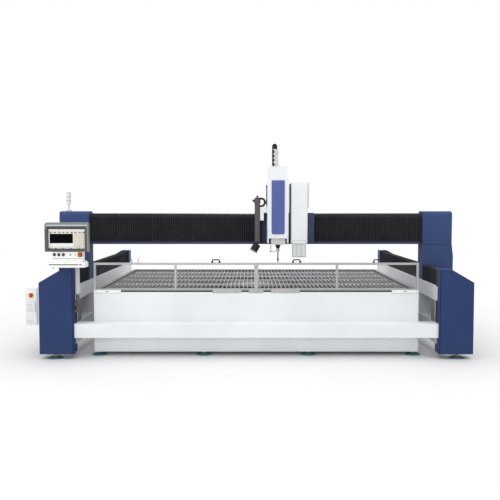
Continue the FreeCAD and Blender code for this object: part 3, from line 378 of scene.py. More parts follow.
def slat_steel():
    """Galvanised slats: bright worn tops, jet marks, stains towards the water."""
    finish = Finish("galvanised_slats")
    spangle = finish.node("ShaderNodeTexVoronoi", None, {"Vector": finish.place, "Scale": 55},
                          "Color")
    grey = finish.mixed((0.27, 0.275, 0.285), (0.47, 0.475, 0.485), spangle)
    streak = finish.ramp(finish.noise(14, 5, finish.stretched((1, 1, 0.12))), 0.4, 0.72)
    rust = finish.mixed(grey, (0.2, 0.13, 0.08), streak * 0.4)
    height = finish.height()
    wet = finish.ramp(height, 0.83, 0.76)
    stained = finish.mixed(rust, (0.1, 0.1, 0.1), wet * 0.7)
    worn = finish.ramp(height, 0.884, 0.889) * finish.ramp(finish.noise(20, 4), 0.3, 0.5)
    lit = finish.mixed(stained, (0.76, 0.76, 0.76), worn)
    along = finish.node("ShaderNodeSeparateXYZ", None, {0: finish.place}, "Y")
    turn = finish.node("ShaderNodeMath", {"operation": "FRACT"},
                       {0: (along - FIRST_TIE) * (1 / TIE_PITCH) + 0.5})
    near = finish.node("ShaderNodeMath", {"operation": "COMPARE"}, {0: turn, 1: 0.5, 2: 0.0095})
    tie = near * (height > 0.851) * (1 - finish.ramp(height, 0.8822, 0.8826))
    front_bar = (along < bed_low.y + 0.012) * (height > 0.80)
    bright = finish.mixed(lit, TIE_COLOUR, tie)
    tone = finish.mixed(bright, TIE_COLOUR, front_bar)
    return finish.surface(tone, 0.5 - 0.15 * worn, Metallic=0.45 - 0.45 * tie,
                          Normal=finish.bump(finish.noise(120, 3), 0.0006, 0.5))


def pleat_cloth():
    """Coated cloth of the pleated covers: a fine weave, a tone that varies at random, worn ridges."""
    finish = Finish("coated_bellows_cloth")
    sheet = finish.node("ShaderNodeUVMap", {"uv_map": "UVMap"})
    weave = finish.node("ShaderNodeTexWave", None, {"Vector": sheet, "Scale": 160, "Distortion": 0.4})
    ridge = finish.node("ShaderNodeAttribute", {"attribute_name": "ridge"}, output="Fac")
    worn = finish.ramp(ridge, 0.7, 1.0) * finish.ramp(finish.noise(5, 4), 0.3, 0.62)
    cloth = finish.mixed((0.014, 0.0145, 0.016), (0.026, 0.027, 0.03), finish.noise(2.2, 3))
    tone = finish.mixed(cloth, (0.06, 0.061, 0.065), worn * 0.6)
    return finish.surface(tone, 0.66 - 0.1 * worn, Specular_IOR_Level=0.1,
                          Normal=finish.bump(weave, 0.0002, 0.3))


def clear_sheet():
    """Clear guard panes: nearly unseen, with faint scratches and dried drops."""
    finish = Finish("clear_pane")
    drops = finish.ramp(finish.noise(60, 4), 0.62, 0.72)
    return finish.surface((0.86, 0.93, 0.93), 0.06 + 0.3 * drops, Alpha=0.012 + 0.03 * drops,
                          IOR=1.49)


def tank_water():
    """Still grey water between the slats, with fine spent abrasive in it."""
    finish = Finish("tank_water")
    cloud = finish.noise(1.4, 5)
    tone = finish.mixed((0.19, 0.195, 0.20), (0.26, 0.265, 0.27), cloud)
    ripple = finish.noise(7, 2)
    return finish.surface(tone, 0.09, IOR=1.33, Normal=finish.bump(ripple, 0.004, 0.2))


def display_glass():
    """The dark screen behind its glass: switched off, with a faint sheen of wiping."""
    finish = Finish("screen_glass")
    wiped = finish.ramp(finish.noise(16, 3, finish.stretched((1, 1, 3))), 0.45, 0.7)
    return finish.surface((0.001, 0.001, 0.0015), 0.25 + 0.1 * wiped, Specular_IOR_Level=0.03)


def lens_glass(name, colour):
    """A lamp's lens: fine ribs under a clear face."""
    finish = Finish(name)
    ribs = finish.node("ShaderNodeTexWave", {"bands_direction": "Z"},
                       {"Vector": finish.place, "Scale": 90})
    tone = finish.mixed(shade(colour, 0.88), colour, ribs)
    return finish.surface(tone, 0.18, Normal=finish.bump(ribs, 0.0005, 0.4))


blue_paint = satin_paint("blue_paint", (0.030, 0.052, 0.145), 0.5, 0.03, 0.08)
leg_paint = satin_paint("leg_blue_paint", (0.051, 0.082, 0.200), 0.55, 0.03, 0.05)
saddle_paint = satin_paint("saddle_dark_blue_paint", (0.034, 0.049, 0.125), 0.5, 0.03, 0.1)
violet_paint = satin_paint("violet_blue_panel_paint", (0.092, 0.128, 0.36), 0.4, 0.1)
white_paint = satin_paint("white_paint", (0.81, 0.84, 0.86), 0.4)
housing_paint = satin_paint("housing_white_paint", (0.85, 0.88, 0.905), 0.4, 0.1)
unit_paint = satin_paint("unit_white_paint", (0.85, 0.875, 0.88), 0.4, 0.1)
grey_paint = satin_paint("frame_grey_paint", (0.72, 0.73, 0.75))
# A dark copy of the frame grey: painted shade on faces inside the side frames and under the clip covers
shaded_grey_paint = satin_paint("painted_shade_grey_paint", (0.20, 0.205, 0.21))
cabinet_paint = satin_paint("cabinet_white_paint", (0.93, 0.945, 0.94), 0.45)
console_paint = satin_paint("console_white_paint", (0.92, 0.93, 0.92), 0.42, 0.1)
hood_paint = satin_paint("console_grey_paint", (0.222, 0.238, 0.242), 0.5, 0.1)
bezel_paint = satin_paint("console_dark_grey_paint", (0.088, 0.094, 0.093), 0.55, 0.1)
hood_light = satin_paint("console_light_grey_paint", (0.52, 0.55, 0.55), 0.5, 0.1)
tube_and_shade_grey_paint = satin_paint("lamp_tube_and_shade_grey_paint", (0.100, 0.096, 0.100), 0.5, 0.1)
foot_paint = satin_paint("teal_foot_paint", (0.050, 0.165, 0.190), 0.5, 0.3)
trim_and_shade_dark = satin_paint("trim_and_shade_dark_paint", (0.018, 0.02, 0.03), 0.5, 0.2)
rim_steel = drawn_steel("rim_steel", (0.20, 0.20, 0.19), 0.5, (2, 60, 60), 0.3)
guard_steel = drawn_steel("guard_steel", (0.42, 0.42, 0.42), 0.4, (2, 50, 50), 0.5)
bright_steel = drawn_steel("bright_steel", (0.62, 0.62, 0.62), 0.25)
rail_steel = drawn_steel("ground_rail_steel", (0.52, 0.53, 0.54), 0.22, (60, 2, 60), 0.9)
block_steel = drawn_steel("head_block_steel", (0.60, 0.585, 0.57), 0.4, (40, 40, 3), 0.4)
nozzle_steel = drawn_steel("nozzle_steel", (0.13, 0.13, 0.135), 0.4, (40, 40, 3), 0.5)
bed_steel = slat_steel()
cloth = pleat_cloth()
pane = clear_sheet()
water = tank_water()
screen_glass = display_glass()
lamp_lens = lens_glass("signal_lamp_lens", (0.86, 0.87, 0.87))
spot_lens = lens_glass("work_lamp_lens", (0.7, 0.74, 0.78))
black_plastic = moulded("black_plastic", (0.016, 0.016, 0.017))
rubber_and_shade_black = moulded("rubber_and_shade_black", (0.02, 0.02, 0.021), 0.7, 900)
red_plastic = moulded("red_plastic", (0.62, 0.07, 0.035), 0.35)
yellow_plastic = moulded("yellow_plastic", (0.82, 0.74, 0.22), 0.4)
green_plastic = moulded("green_plastic", (0.20, 0.58, 0.24), 0.35)
beige_plastic = moulded("beige_keypad", (0.74, 0.72, 0.61), 0.5)
panel_plastic = moulded("pale_front_foil", (0.80, 0.82, 0.83), 0.45)
pale_plastic = moulded("pale_plastic", (0.72, 0.73, 0.72), 0.4)
chain_grey_plastic = moulded("chain_grey_plastic", (0.62, 0.63, 0.63), 0.5)
pad_key_plastic = moulded("keypad_key", (0.60, 0.57, 0.46), 0.5)
cabinet_seam_paint = satin_paint("cabinet_seam_paint", (0.72, 0.73, 0.72), 0.45, 0.1)
lip_paint = satin_paint("beam_lip_violet_paint", (0.042, 0.044, 0.120), 0.5)
# A lighter copy of the saddle blue: painted light on the saddle's right, where the head casts no shade
saddle_lit_blue_paint = satin_paint("saddle_painted_light_blue_paint", (0.060, 0.075, 0.148), 0.5, 0.03, 0.1)

SLOT_FINISHES = {
    "white_paint": (white_paint, housing_paint, unit_paint, console_paint, cabinet_seam_paint,
                    panel_plastic),
    "grey_paint": (shaded_grey_paint, hood_paint, hood_light),
    "dark_grey_paint": (tube_and_shade_grey_paint, bezel_paint),
    "blue_paint": (blue_paint, leg_paint, saddle_paint, saddle_lit_blue_paint),
    "violet_paint": (lip_paint,),
    "dark_paint": (trim_and_shade_dark,),
    "foot_paint": (foot_paint,),
    "brushed_steel": (bright_steel, block_steel),
    "black_plastic": (black_plastic, rubber_and_shade_black, screen_glass),
    "beige_panel": (yellow_plastic, pad_key_plastic),
    "lamp_plastic": (pale_plastic, green_plastic, chain_grey_plastic, spot_lens),
    "red_plastic": (red_plastic,),
    "clear_pane": (water,),
}
slot_of = {finish.name: slot for slot, finishes in SLOT_FINISHES.items() for finish in finishes}

CAD_FINISHES = (
    (blue_paint, "front_columns rear_columns"),
    (grey_paint, "right_side_frame left_side_frame side_panels"),
    (white_paint, "cross_beams tank_floor tank_front_wall tank_back_wall tank_right_wall"),
    (white_paint, "tank_left_wall"),
    (foot_paint, "machine_feet tank_feet"),
    (rim_steel, "tank_rim"),
    (bed_steel, "slat_bed"),
    (guard_steel, "splash_guard_frame"),
    (pane, "splash_guard_panes"),
    (rail_steel, "side_rails beam_rails head_slide"),
    (leg_paint, "gantry_right_leg gantry_left_leg gantry_beam"),
    (lamp_lens, "signal_lamp"),
    (saddle_paint, "carriage_saddle"),
    (housing_paint, "head_housing"),
    (violet_paint, "housing_front_panel"),
    (unit_paint, "tool_unit"),
    (tube_and_shade_grey_paint, "work_lamp_tube console_stem"),
    (black_plastic, "guard_handles work_lamp_spot energy_chain head_nut panel_controls"),
    (block_steel, "head_block"),
    (nozzle_steel, "cutting_nozzle"),
    (hood_light, "console_post"),
    (console_paint, "keyboard_shelf button_panel"),
    (hood_paint, "console_hood"),
    (beige_plastic, "screen_panel"),
    (red_plastic, "emergency_stop main_switch"),
    (cabinet_paint, "electrical_cabinet cabinet_door"),
)
for finish, pieces in CAD_FINISHES:
    for node in pieces.split():
        nodes[node].data.materials.clear()
        nodes[node].data.materials.append(finish)

BROKEN_EDGES = {
    0.001: "screen_panel beam_rails side_rails",
    0.0015: "housing_front_panel splash_guard_frame",
    0.002: "tank_front_wall tank_back_wall head_block keyboard_shelf",
    0.0025: "cabinet_door",
    0.003: "right_side_frame left_side_frame tank_rim gantry_beam tool_unit button_panel "
           "electrical_cabinet",
    0.004: "front_columns rear_columns carriage_saddle head_housing console_hood",
    0.005: "cross_beams",
    0.006: "gantry_right_leg gantry_left_leg",
}
for width, pieces in BROKEN_EDGES.items():
    for node in pieces.split():
        weld = nodes[node].modifiers.new("weld", "WELD")
        weld.merge_threshold = 0.00001
        bevel = nodes[node].modifiers.new("broken_edges", "BEVEL")
        bevel.width = width
        bevel.segments = 2
        bevel.limit_method = "ANGLE"
        bevel.angle_limit = math.radians(40)
        bevel.use_clamp_overlap = True


# Pleated covers over the side rails and the beam

PLEAT = 0.033
PLEAT_DEPTH = 0.016
CLOTH = 0.0016
END_FRAME = 0.022
LAG = 0.06
ROLL = [(0, 1), (0.1, 0.88), (0.4, 0.12), (0.5, 0), (0.6, 0.12), (0.9, 0.88), (1, 1)]


def drawn_in(line, distance):
    """A run of points moved to its left by a distance, mitred at its bends."""
    normals = []
    for (x1, y1), (x2, y2) in zip(line, line[1:]):
        length = math.hypot(x2 - x1, y2 - y1)
        normals.append(((y1 - y2) / length, (x2 - x1) / length))
    moved = []
    for index, (x, y) in enumerate(line):
        before, after = normals[max(index - 1, 0)], normals[min(index, len(normals) - 1)]
        share = distance / (1 + before[0] * after[0] + before[1] * after[1])
        moved.append((x + share * (before[0] + after[0]), y + share * (before[1] + after[1])))
    return moved


def pleated_sheet(name, line, start, end, place):
    """Coated cloth folded along its length: one pleat shaped on a grid, then repeated and thickened."""
    count = max(1, round(abs(end - start) / PLEAT))
    unit = (end - start) / count
    inner = drawn_in(line, PLEAT_DEPTH)
    let_go()
    across, rows = len(line) - 1, len(ROLL) - 1
    bpy.ops.mesh.primitive_grid_add(x_subdivisions=across, y_subdivisions=rows, size=1)
    piece = settle(name)
    ridge = piece.data.attributes.new("ridge", "FLOAT", "POINT")
    for vertex in piece.data.vertices:
        point = round((vertex.co.x + 0.5) * across)
        phase, depth = ROLL[round((vertex.co.y + 0.5) * rows)]
        (x1, y1), (x2, y2) = line[point], inner[point]
        vertex.co = place(x1 + (x2 - x1) * depth, y1 + (y2 - y1) * depth, start + unit * phase)
        ridge.data[vertex.index].value = 1 - depth
    step = Vector(place(0, 0, unit)) - Vector(place(0, 0, 0))
    worked(piece, "ARRAY", count=count, use_relative_offset=False, use_constant_offset=True,
           constant_offset_displace=step, use_merge_vertices=True, merge_threshold=0.0002)
    opened(piece)
    bpy.ops.mesh.normals_make_consistent(inside=False)
    bpy.ops.object.mode_set(mode="OBJECT")
    worked(piece, "SOLIDIFY", thickness=CLOTH, offset=0)
    bpy.ops.object.shade_smooth_by_angle(angle=math.radians(50))
    return piece


def cover_frame(name, line, start, end, place, body):
    """The stiff frame at a pleated cover's end."""
    let_go()
    outer = drawn_in(line, -0.002)
    inner = drawn_in(line, PLEAT_DEPTH + 0.004)
    across = len(line) - 1
    bpy.ops.mesh.primitive_grid_add(x_subdivisions=across, y_subdivisions=1, size=1)
    piece = settle(name)
    for vertex in piece.data.vertices:
        point = round((vertex.co.x + 0.5) * across)
        x, y = (outer if vertex.co.y > 0 else inner)[point]
        vertex.co = place(x, y, start)
    step = Vector(place(0, 0, end - start)) - Vector(place(0, 0, 0))
    opened(piece)
    bpy.ops.mesh.extrude_region_move(TRANSFORM_OT_translate={"value": step})
    bpy.ops.mesh.select_all(action="SELECT")
    bpy.ops.mesh.normals_make_consistent(inside=False)
    bpy.ops.object.mode_set(mode="OBJECT")
    softened(piece, 0.0015)
    return fitted(piece, body, trim_and_shade_dark, "black_plastic")


def end_frames(names, line, fixed_end, moving_end, place, bodies):
    """The stiff frames at both ends of a cover."""
    depth = math.copysign(END_FRAME, moving_end - fixed_end)
    cover_frame(names[0], line, fixed_end, fixed_end + depth, place, bodies[0])
    cover_frame(names[1], line, moving_end - depth, moving_end, place, bodies[1])


def rounded_line(points, radius, steps=3):
    """The same run of points with its inner corners rounded."""
    line = [points[0]]
    for before, corner, after in zip(points, points[1:], points[2:]):
        before, corner, after = Vector(before), Vector(corner), Vector(after)
        reach = min(radius, (before - corner).length * 0.45, (after - corner).length * 0.45)
        first = corner + (before - corner).normalized() * reach
        last = corner + (after - corner).normalized() * reach
        for step in range(steps + 1):
            share = step / steps
            line.append(tuple(first * (1 - share) ** 2 + corner * 2 * share * (1 - share)
                              + last * share ** 2))
    line.append(points[-1])
    return line


def stretched_between(piece, node, axis, start, end):
    """Give a cover its cloth, put its place into its mesh and hide the part it stands in for."""
    reach = (end - start) * LAG
    first, last = [0, 0, 0], [0, 0, 0]
    first["xyz".index(axis)] = start - reach
    last["xyz".index(axis)] = end + reach
    piece.data.materials.clear()
    piece.data.materials.append(cloth)
    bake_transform(piece)
    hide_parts(node)


def along_y(x, z, y):
    """A point of a section that runs front to back."""
    return x, y, z


def along_x(y, z, x):
    """A point of a section that runs across."""
    return x, y, z


def rail_covers(node, fixed_end, moving_end):
    """The covers over both side rails, between a pair of columns and the gantry's legs."""
    low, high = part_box(node)
    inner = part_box("side_rails")[1].x - 0.115
    right = rounded_line([(high.x, 0.985), (high.x, 1.01), (inner + 0.104, high.z), (inner, high.z),
                          (inner, low.z)], 0.014)
    left = [(low.x + high.x - x, z) for x, z in right][::-1]
    sheets = []
    for side, line in (("right", right), ("left", left)):
        name = f"{side}_{node}"
        sheets.append(pleated_sheet(name, line, fixed_end, moving_end, along_y))
        end_frames((f"{name}_fixed_frame", f"{name}_leg_frame"), line, fixed_end, moving_end, along_y,
                   ("frame", "gantry"))
    piece = joined(f"{node}_cloth", sheets)
    stretched_between(piece, node, "y", fixed_end, moving_end)


def beam_cover(node, fixed_end, moving_end):
    """The cover over the beam, between a leg and the carriage."""
    low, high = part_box(node)
    line = rounded_line([(high.y, 1.8803), (high.y, high.z), (low.y + 0.054, high.z),
                         (low.y, high.z - 0.054), (low.y, low.z)], 0.012)
    piece = pleated_sheet(f"{node}_cloth", line, fixed_end, moving_end, along_x)
    end_frames((f"{node}_leg_frame", f"{node}_saddle_frame"), line, fixed_end, moving_end, along_x,
               ("gantry", "carriage"))
    stretched_between(piece, node, "x", fixed_end, moving_end)


for node, fixed, moving in (("front_rail_bellows", 0, 1), ("rear_rail_bellows", 1, 0)):
    rail_covers(node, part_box(node)[fixed].y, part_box(node)[moving].y)
for node, fixed, moving in (("left_beam_bellows", 0, 1), ("right_beam_bellows", 1, 0)):
    beam_cover(node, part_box(node)[fixed].x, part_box(node)[moving].x)


# Water between the slats

WATER_LEVEL = 0.82
front_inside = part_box("tank_front_wall")[1].y + 0.001
back_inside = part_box("tank_back_wall")[0].y - 0.001
let_go()
bpy.ops.mesh.primitive_grid_add(
    x_subdivisions=44, y_subdivisions=32, size=1,
    location=((bed_low.x + bed_high.x) / 2, (front_inside + back_inside) / 2, WATER_LEVEL),
    scale=(bed_high.x - bed_low.x + 0.001, back_inside - front_inside, 1))
surface = settle("tank_water_surface")
worked(surface, "SOLIDIFY", thickness=0.002, offset=-1)
bpy.ops.object.shade_smooth_by_angle(angle=math.radians(30))
fitted(surface, "frame", water)


# Fasteners, each shaped once and copied to its places

def screws(name, places, radius, body, finish=bright_steel, axis=TO_FRONT):
    """Round-headed screws with a driving hole."""
    height = radius * 0.6
    head = turned("screw_head", ORIGIN, axis,
                  [(radius, 0), (radius, height * 0.55), (radius * 0.8, height),
                   (radius * 0.45, height), (radius * 0.4, height * 0.4)], 12)
    return fitted(copied(name, head, places), body, finish)


def nuts(name, places, radius, height, body):
    """Six-sided nuts that lie flat."""
    nut = turned("nut", ORIGIN, UP, [(radius * 0.88, 0), (radius, height * 0.2),
                                     (radius, height * 0.8), (radius * 0.88, height)], 6)
    return fitted(copied(name, nut, places), body, bright_steel)


def evenly(low, high, count):
    """Steps at equal distances from one end to the other."""
    return [low + (high - low) * step / (count - 1) for step in range(count)]


def spread(across, depth, heights):
    """Places at every height for every step across, all on one front face."""
    return [(x, depth, z) for x in across for z in heights]


# Levelling feet: nuts, threads and the ring rolled into each dome

FOOT_RADIUS = 0.105
THREAD_FOOT = 0.0435
THREAD_STEP = 0.0022


def foot_fittings(name, spots, top):
    """The nuts, threads and rolled rings of a set of feet."""
    nuts(f"{name}_nuts", [(x, y, 0.0302) for x, y in spots], 0.036, 0.013, "frame")
    ridges = [(0.0206 + 0.0018 * (step % 2), THREAD_FOOT + THREAD_STEP * step)
              for step in range(int((top - 0.044) / THREAD_STEP))]
    thread = turned("thread", ORIGIN, UP, ridges, 16)
    floor_spots = [(x, y, 0) for x, y in spots]
    fitted(copied(f"{name}_threads", thread, floor_spots), "frame", bright_steel)
    let_go()
    bpy.ops.mesh.primitive_torus_add(major_radius=0.075, minor_radius=0.0028, major_segments=32,
                                     minor_segments=6, location=(0, 0, 0.0185))
    ring = settle("foot_ring")
    bpy.ops.object.shade_smooth()
    fitted(copied(f"{name}_rings", ring, floor_spots), "frame", foot_paint)


low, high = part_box("machine_feet")
frame_middles = [sum(corner.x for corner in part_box(f"{side}_side_frame")) / 2
                 for side in ("right", "left")]
spots = [(x, y) for x in (low.x + FOOT_RADIUS, high.x - FOOT_RADIUS)
         for y in (low.y + FOOT_RADIUS, high.y - FOOT_RADIUS)]
spots += [(x, (low.y + high.y) / 2) for x in frame_middles]
foot_fittings("machine_feet", spots, 0.069)
low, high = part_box("tank_feet")
foot_fittings("tank_feet", [(x, y) for x in evenly(low.x + FOOT_RADIUS, high.x - FOOT_RADIUS, 4)
                            for y in evenly(low.y + FOOT_RADIUS, high.y - FOOT_RADIUS, 3)], 0.057)


# Columns: sloping cap plates

COLUMN_SHOULDER = 1.022
COLUMN_FLAT = 0.305
for end in ("front", "rear"):
    low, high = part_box(f"{end}_columns")
    rise = high.z - COLUMN_SHOULDER
    for side, outer, flat in (("right", high.x, high.x - COLUMN_FLAT),
                              ("left", low.x, low.x + COLUMN_FLAT)):
        slope = math.atan2(rise, abs(outer - flat))
        length = math.hypot(rise, outer - flat)
        middle = Vector(((outer + flat) / 2, (low.y + high.y) / 2, (high.z + COLUMN_SHOULDER) / 2))
        half = Vector((length / 2 - 0.004, (high.y - low.y) / 2 - 0.006, 0.0022))
        cap = slab(f"{side}_{end}_column_cap", middle - half, middle + half, 0.001, 2,
                   (0, slope if side == "right" else -slope, 0))
        fitted(cap, "frame", saddle_paint)


# Front columns: covers and stops on their inner faces, dark plates on those faces at window height as
# painted shade, and the faces of the posts behind in a dark grey that is painted shade

WINDOW = (0.467, 0.765)
RAIL_STOP = (0.962, 1.178)
POST_WIDTH = 0.190


def side_plate(name, across, deep, upright, edge=0.0004):
    """A thin plate that looks sideways, between two places across, two depths and two heights."""
    left, right = sorted(across)
    return slab(name, (left, deep[0], upright[0]), (right, deep[1], upright[1]), edge)


low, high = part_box("front_columns")
beams_low, beams_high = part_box("cross_beams")
middle_y = (low.y + high.y) / 2
behind = (middle_y, high.y - 0.001)
post_starts = (("front", high.y + 0.002), ("rear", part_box("rear_columns")[0].y - 0.192))
covers, stops, shade_plates, shaded_posts = [], [], [], []
for side, face, towards in (("left", beams_low.x, 1), ("right", beams_high.x, -1)):
    wall = face - 0.006 * towards
    skin = (wall, wall + 0.0016 * towards)
    covers.append(side_plate(f"{side}_inner_cover", (wall, face + 0.0012 * towards),
                             (low.y - 0.0012, middle_y), (low.z + 0.001, 1.19), 0.0005))
    stops.append(side_plate(f"{side}_cover_stop", skin, behind, RAIL_STOP))
    # A dark plate at window height on the column's inner face: painted shade
    shade_plates.append(side_plate(f"{side}_inner_shade_plate", skin, behind, WINDOW))
    # The faces of the posts behind, in dark grey: painted shade inside the side frame
    for end, y in post_starts:
        shaded_posts.append(side_plate(f"{side}_{end}_shaded_post",
                                     (face - 0.001 * towards, face + 0.0012 * towards),
                                     (y, y + POST_WIDTH), WINDOW))
assembled("shaded_posts", shaded_posts, "frame", shaded_grey_paint)
assembled("column_inner_covers", covers, "frame", blue_paint)
assembled("rail_cover_stops", stops, "frame", rubber_and_shade_black)
assembled("column_inner_shade_plates", shade_plates, "frame", trim_and_shade_dark)

# Tank: dark strip below the front rim, a painted shadow cast by the rim
low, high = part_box("tank_rim")
fitted(plate("rim_shadow_strip", low.y, (low.x + 0.004, high.x - 0.004),
             (low.z - 0.001, low.z + 0.013), edge=0.0003), "frame", rubber_and_shade_black)


# Splash guard: clip covers, their screws, and grips on the bow handles

CLIP_LENGTH = 0.37
CLIP_SPANS = ((-2.209, -1.839), (-0.592, -0.2), (-0.1, 0.1), (0.2, 0.592), (1.839, 2.209))
HANDLE_Y = -1.85
low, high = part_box("splash_guard_frame")
clip_starts = (low.x, high.x - CLIP_LENGTH)
assembled("outer_clip_covers",
          [plate("clip_cover", low.y, (start + 0.003, start + CLIP_LENGTH - 0.003), (0.862, 0.902),
                 0.0015, 0.0006, 0) for start in clip_starts], "frame", console_paint)
# Thin dark grey lines along the bottom and top of the outer clip covers: painted shadow lines
assembled("clip_shadow_lines",
          [plate("clip_shadow_line", low.y, (start, start + CLIP_LENGTH), (z, z + 0.003), 0.001, 0.0003)
           for start in clip_starts for z in (0.8592, 0.9022)], "frame", shaded_grey_paint)
assembled("clip_slots",
          [plate("clip_slot", low.y, (x - 0.022, x + 0.022), (0.878, 0.886), 0.0022, 0.0003, -0.0014)
           for x in (low.x + CLIP_LENGTH / 2, high.x - CLIP_LENGTH / 2)], "frame", rubber_and_shade_black)
screws("clip_screws", spread([(low.x + high.x) / 2 + x for start, stop in CLIP_SPANS
                              for x in (start + 0.03, stop - 0.03)], low.y, (0.882,)), 0.0085, "frame")
low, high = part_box("guard_handles")
handle_spots = evenly(low.x + 0.0585, high.x - 0.0585, 4)
grips = [rod("grip", (x - 0.040, HANDLE_Y, 1.313), (x + 0.040, HANDLE_Y, 1.313), 0.0085, 0.0008, 16)
         for x in handle_spots]
boots = [turned("boot", (x + side * 0.0505, HANDLE_Y, 1.2735), UP,
                [(0.0125, 0), (0.0125, 0.012), (0.0095, 0.028)], 16)
         for x in handle_spots for side in (-1, 1)]
assembled("pale_handle", [grips[0]] + boots[:2], "frame", console_paint)
assembled("dark_handles", grips[1:] + boots[2:], "frame", black_plastic)


# Gantry: seam strips and cover screws of the legs, and the painted strip along the beam's lip

LEG_SEAM = (1.4785, 1.4835)
for side in ("right", "left"):
    low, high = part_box(f"gantry_{side}_leg")
    left, right = (low.x, high.x - 0.022) if side == "right" else (low.x + 0.022, high.x)
    strips = [plate("seam_front", low.y, (left + 0.002, right), LEG_SEAM, 0.0016),
              plate("seam_back", high.y, (left + 0.002, right), LEG_SEAM, 0.001, sunk=0.0016)]
    assembled(f"{side}_leg_seams", strips, "gantry", trim_and_shade_dark)
    screws(f"{side}_leg_cover_screws", spread((left + 0.03, right - 0.03), low.y,
                                              (1.03, 1.44, 1.52, 1.87)), 0.006, "gantry", leg_paint)
low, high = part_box("gantry_beam")
fitted(plate("beam_lip_strip", low.y, (low.x + 0.001, high.x - 0.001),
             (low.z + 0.001, low.z + 0.0365)), "gantry", lip_paint)


# Signal lamp: seals between the lens segments, its cap, and screws in its base

low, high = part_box("signal_lamp")
lamp_middle = ((low.x + high.x) / 2, (low.y + high.y) / 2)
seals = [turned("lamp_seal", (*lamp_middle, 2.1235 + 0.058 * step), UP,
                [(0.0331, 0), (0.0338, 0.001), (0.0338, 0.0025), (0.0331, 0.0035)], 32)
         for step in range(3)]
assembled("lamp_seals", seals, "gantry", tube_and_shade_grey_paint)
fitted(turned("lamp_cap", (*lamp_middle, 2.243), UP, [(0.0305, 0), (0.031, 0.0035), (0.02, 0.006)],
              32), "gantry", pale_plastic)
screws("lamp_base_screws", [(lamp_middle[0] + 0.034 * math.cos(turn),
                             lamp_middle[1] + 0.034 * math.sin(turn), 1.99)
                            for turn in (0.8, 2.4, 3.9, 5.5)], 0.004, "gantry", axis=UP)


# Carriage: saddle bolts, a lighter plate of painted light on the saddle's right, duct at the housing's
# left, plate beside the unit, and a dark strip of painted shade on the unit's left side

saddle_low, saddle_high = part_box("carriage_saddle")
screws("saddle_bolts", spread((saddle_low.x + 0.03, saddle_high.x - 0.03), saddle_low.y,
                              (1.54, 1.66, 1.78, 1.90)), 0.009, "carriage", trim_and_shade_dark)
# Lighter blue plate on the saddle's right: painted light beside the head's shade on the left
fitted(plate("saddle_right_lit_plate", saddle_low.y, (saddle_high.x - 0.092, saddle_high.x - 0.002),
             (saddle_low.z + 0.004, saddle_high.z - 0.004), 0.0016, 0.0006), "carriage",
       saddle_lit_blue_paint)
housing_low, housing_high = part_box("head_housing")
fitted(slab("housing_duct", (housing_low.x - 0.014, -1.30, 2.044),
            (housing_low.x - 0.0002, -1.17, 2.346), 0.002), "carriage", tube_and_shade_grey_paint)
assembled("duct_clips", [slab("duct_clip", (housing_low.x - 0.0155, -1.302, z),
                              (housing_low.x, -1.168, z + 0.012), 0.0008)
                         for z in (2.07, 2.19, 2.31)], "carriage", black_plastic)
screws("housing_cover_screws", spread((housing_low.x + 0.024, housing_high.x - 0.024),
                                      housing_low.y, (1.60, 1.86, 2.13, 2.38)), 0.0045, "carriage",
       housing_paint)
unit_low, unit_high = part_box("tool_unit")
fitted(slab("unit_side_plate", (unit_high.x - 0.001, -1.135, 2.016),
            (unit_high.x + 0.0335, -1.121, 2.381), 0.001), "carriage", unit_paint)
# Dark strip on the unit's left side: painted shade beside the housing
fitted(slab("unit_left_shade_strip", (unit_low.x - 0.019, -1.290, 1.600),
            (unit_low.x + 0.001, -1.100, 2.362), 0.002), "carriage", tube_and_shade_grey_paint)
guide_spots = [((unit_low.x + unit_high.x) / 2 + step * 0.069, unit_low.y + 0.062)
               for step in (-1, 0, 1)]
for name, z, deep, ring, finish in (("guide_collars", 1.494, 0.016, 0.0375, unit_paint),
                                    ("guide_ends", 1.307, 0.008, 0.0336, trim_and_shade_dark)):
    collar = turned("guide_collar", ORIGIN, UP,
                    [(ring - 0.002, 0), (ring, 0.002), (ring, deep - 0.002), (ring - 0.002, deep)], 28)
    fitted(copied(name, collar, [(x, y, z) for x, y in guide_spots]), "carriage", finish)
fitted(plate("unit_base_seam", unit_low.y, (unit_low.x + 0.014, unit_high.x - 0.014),
             (1.545, 1.548), 0.0008, 0.0003), "carriage", tube_and_shade_grey_paint)


# Head: fitting with its short tube, and a lock ring below the nut

VALVE = (0.366, -1.22)
valve = [slab("valve_body", (0.346, -1.232, 1.379), (0.386, -1.208, 1.399), 0.002),
         rod("valve_stem", (*VALVE, 1.397), (*VALVE, 1.495), 0.006, 0.001, 16),
         turned("valve_ring", (*VALVE, 1.44), UP,
                [(0.007, 0), (0.0105, 0.001), (0.0105, 0.013), (0.007, 0.014)], 6)]
assembled("head_valve", valve, "head", block_steel)
low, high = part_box("head_nut")
head_spot = ((low.x + high.x) / 2, (low.y + high.y) / 2)
fitted(turned("lock_ring", (*head_spot, 1.388), UP,
              [(0.012, 0), (0.024, 0.003), (0.024, 0.019), (0.019, 0.023), (0.0235, 0.027),
               (0.021, 0.045)]), "head", block_steel)
fitted(bent_tube("valve_tube", [(x, VALVE[1], z) for x, z in (
    (0.386, 1.389), (0.41, 1.389), (0.43, 1.394), (0.447, 1.398))], 0.0045), "head", bright_steel)
low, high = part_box("head_block")
screws("block_screws", spread((low.x + 0.022, high.x - 0.022), low.y, (1.53, 1.56)), 0.006, "head")
nut_grooves = [turned("nut_groove", (*head_spot, z), UP,
                      [(r, 0), (r + 0.0012, 0.0012), (r + 0.0012, 0.0024), (r + 0.0006, 0.0036)])
               for z, r in ((1.448, 0.0272), (1.462, 0.0319), (1.476, 0.0366))]
assembled("nut_grips", nut_grooves, "head", black_plastic)


# Work lamp: loop clamp, locking knob, cooling rings, bezel, lens and bracket

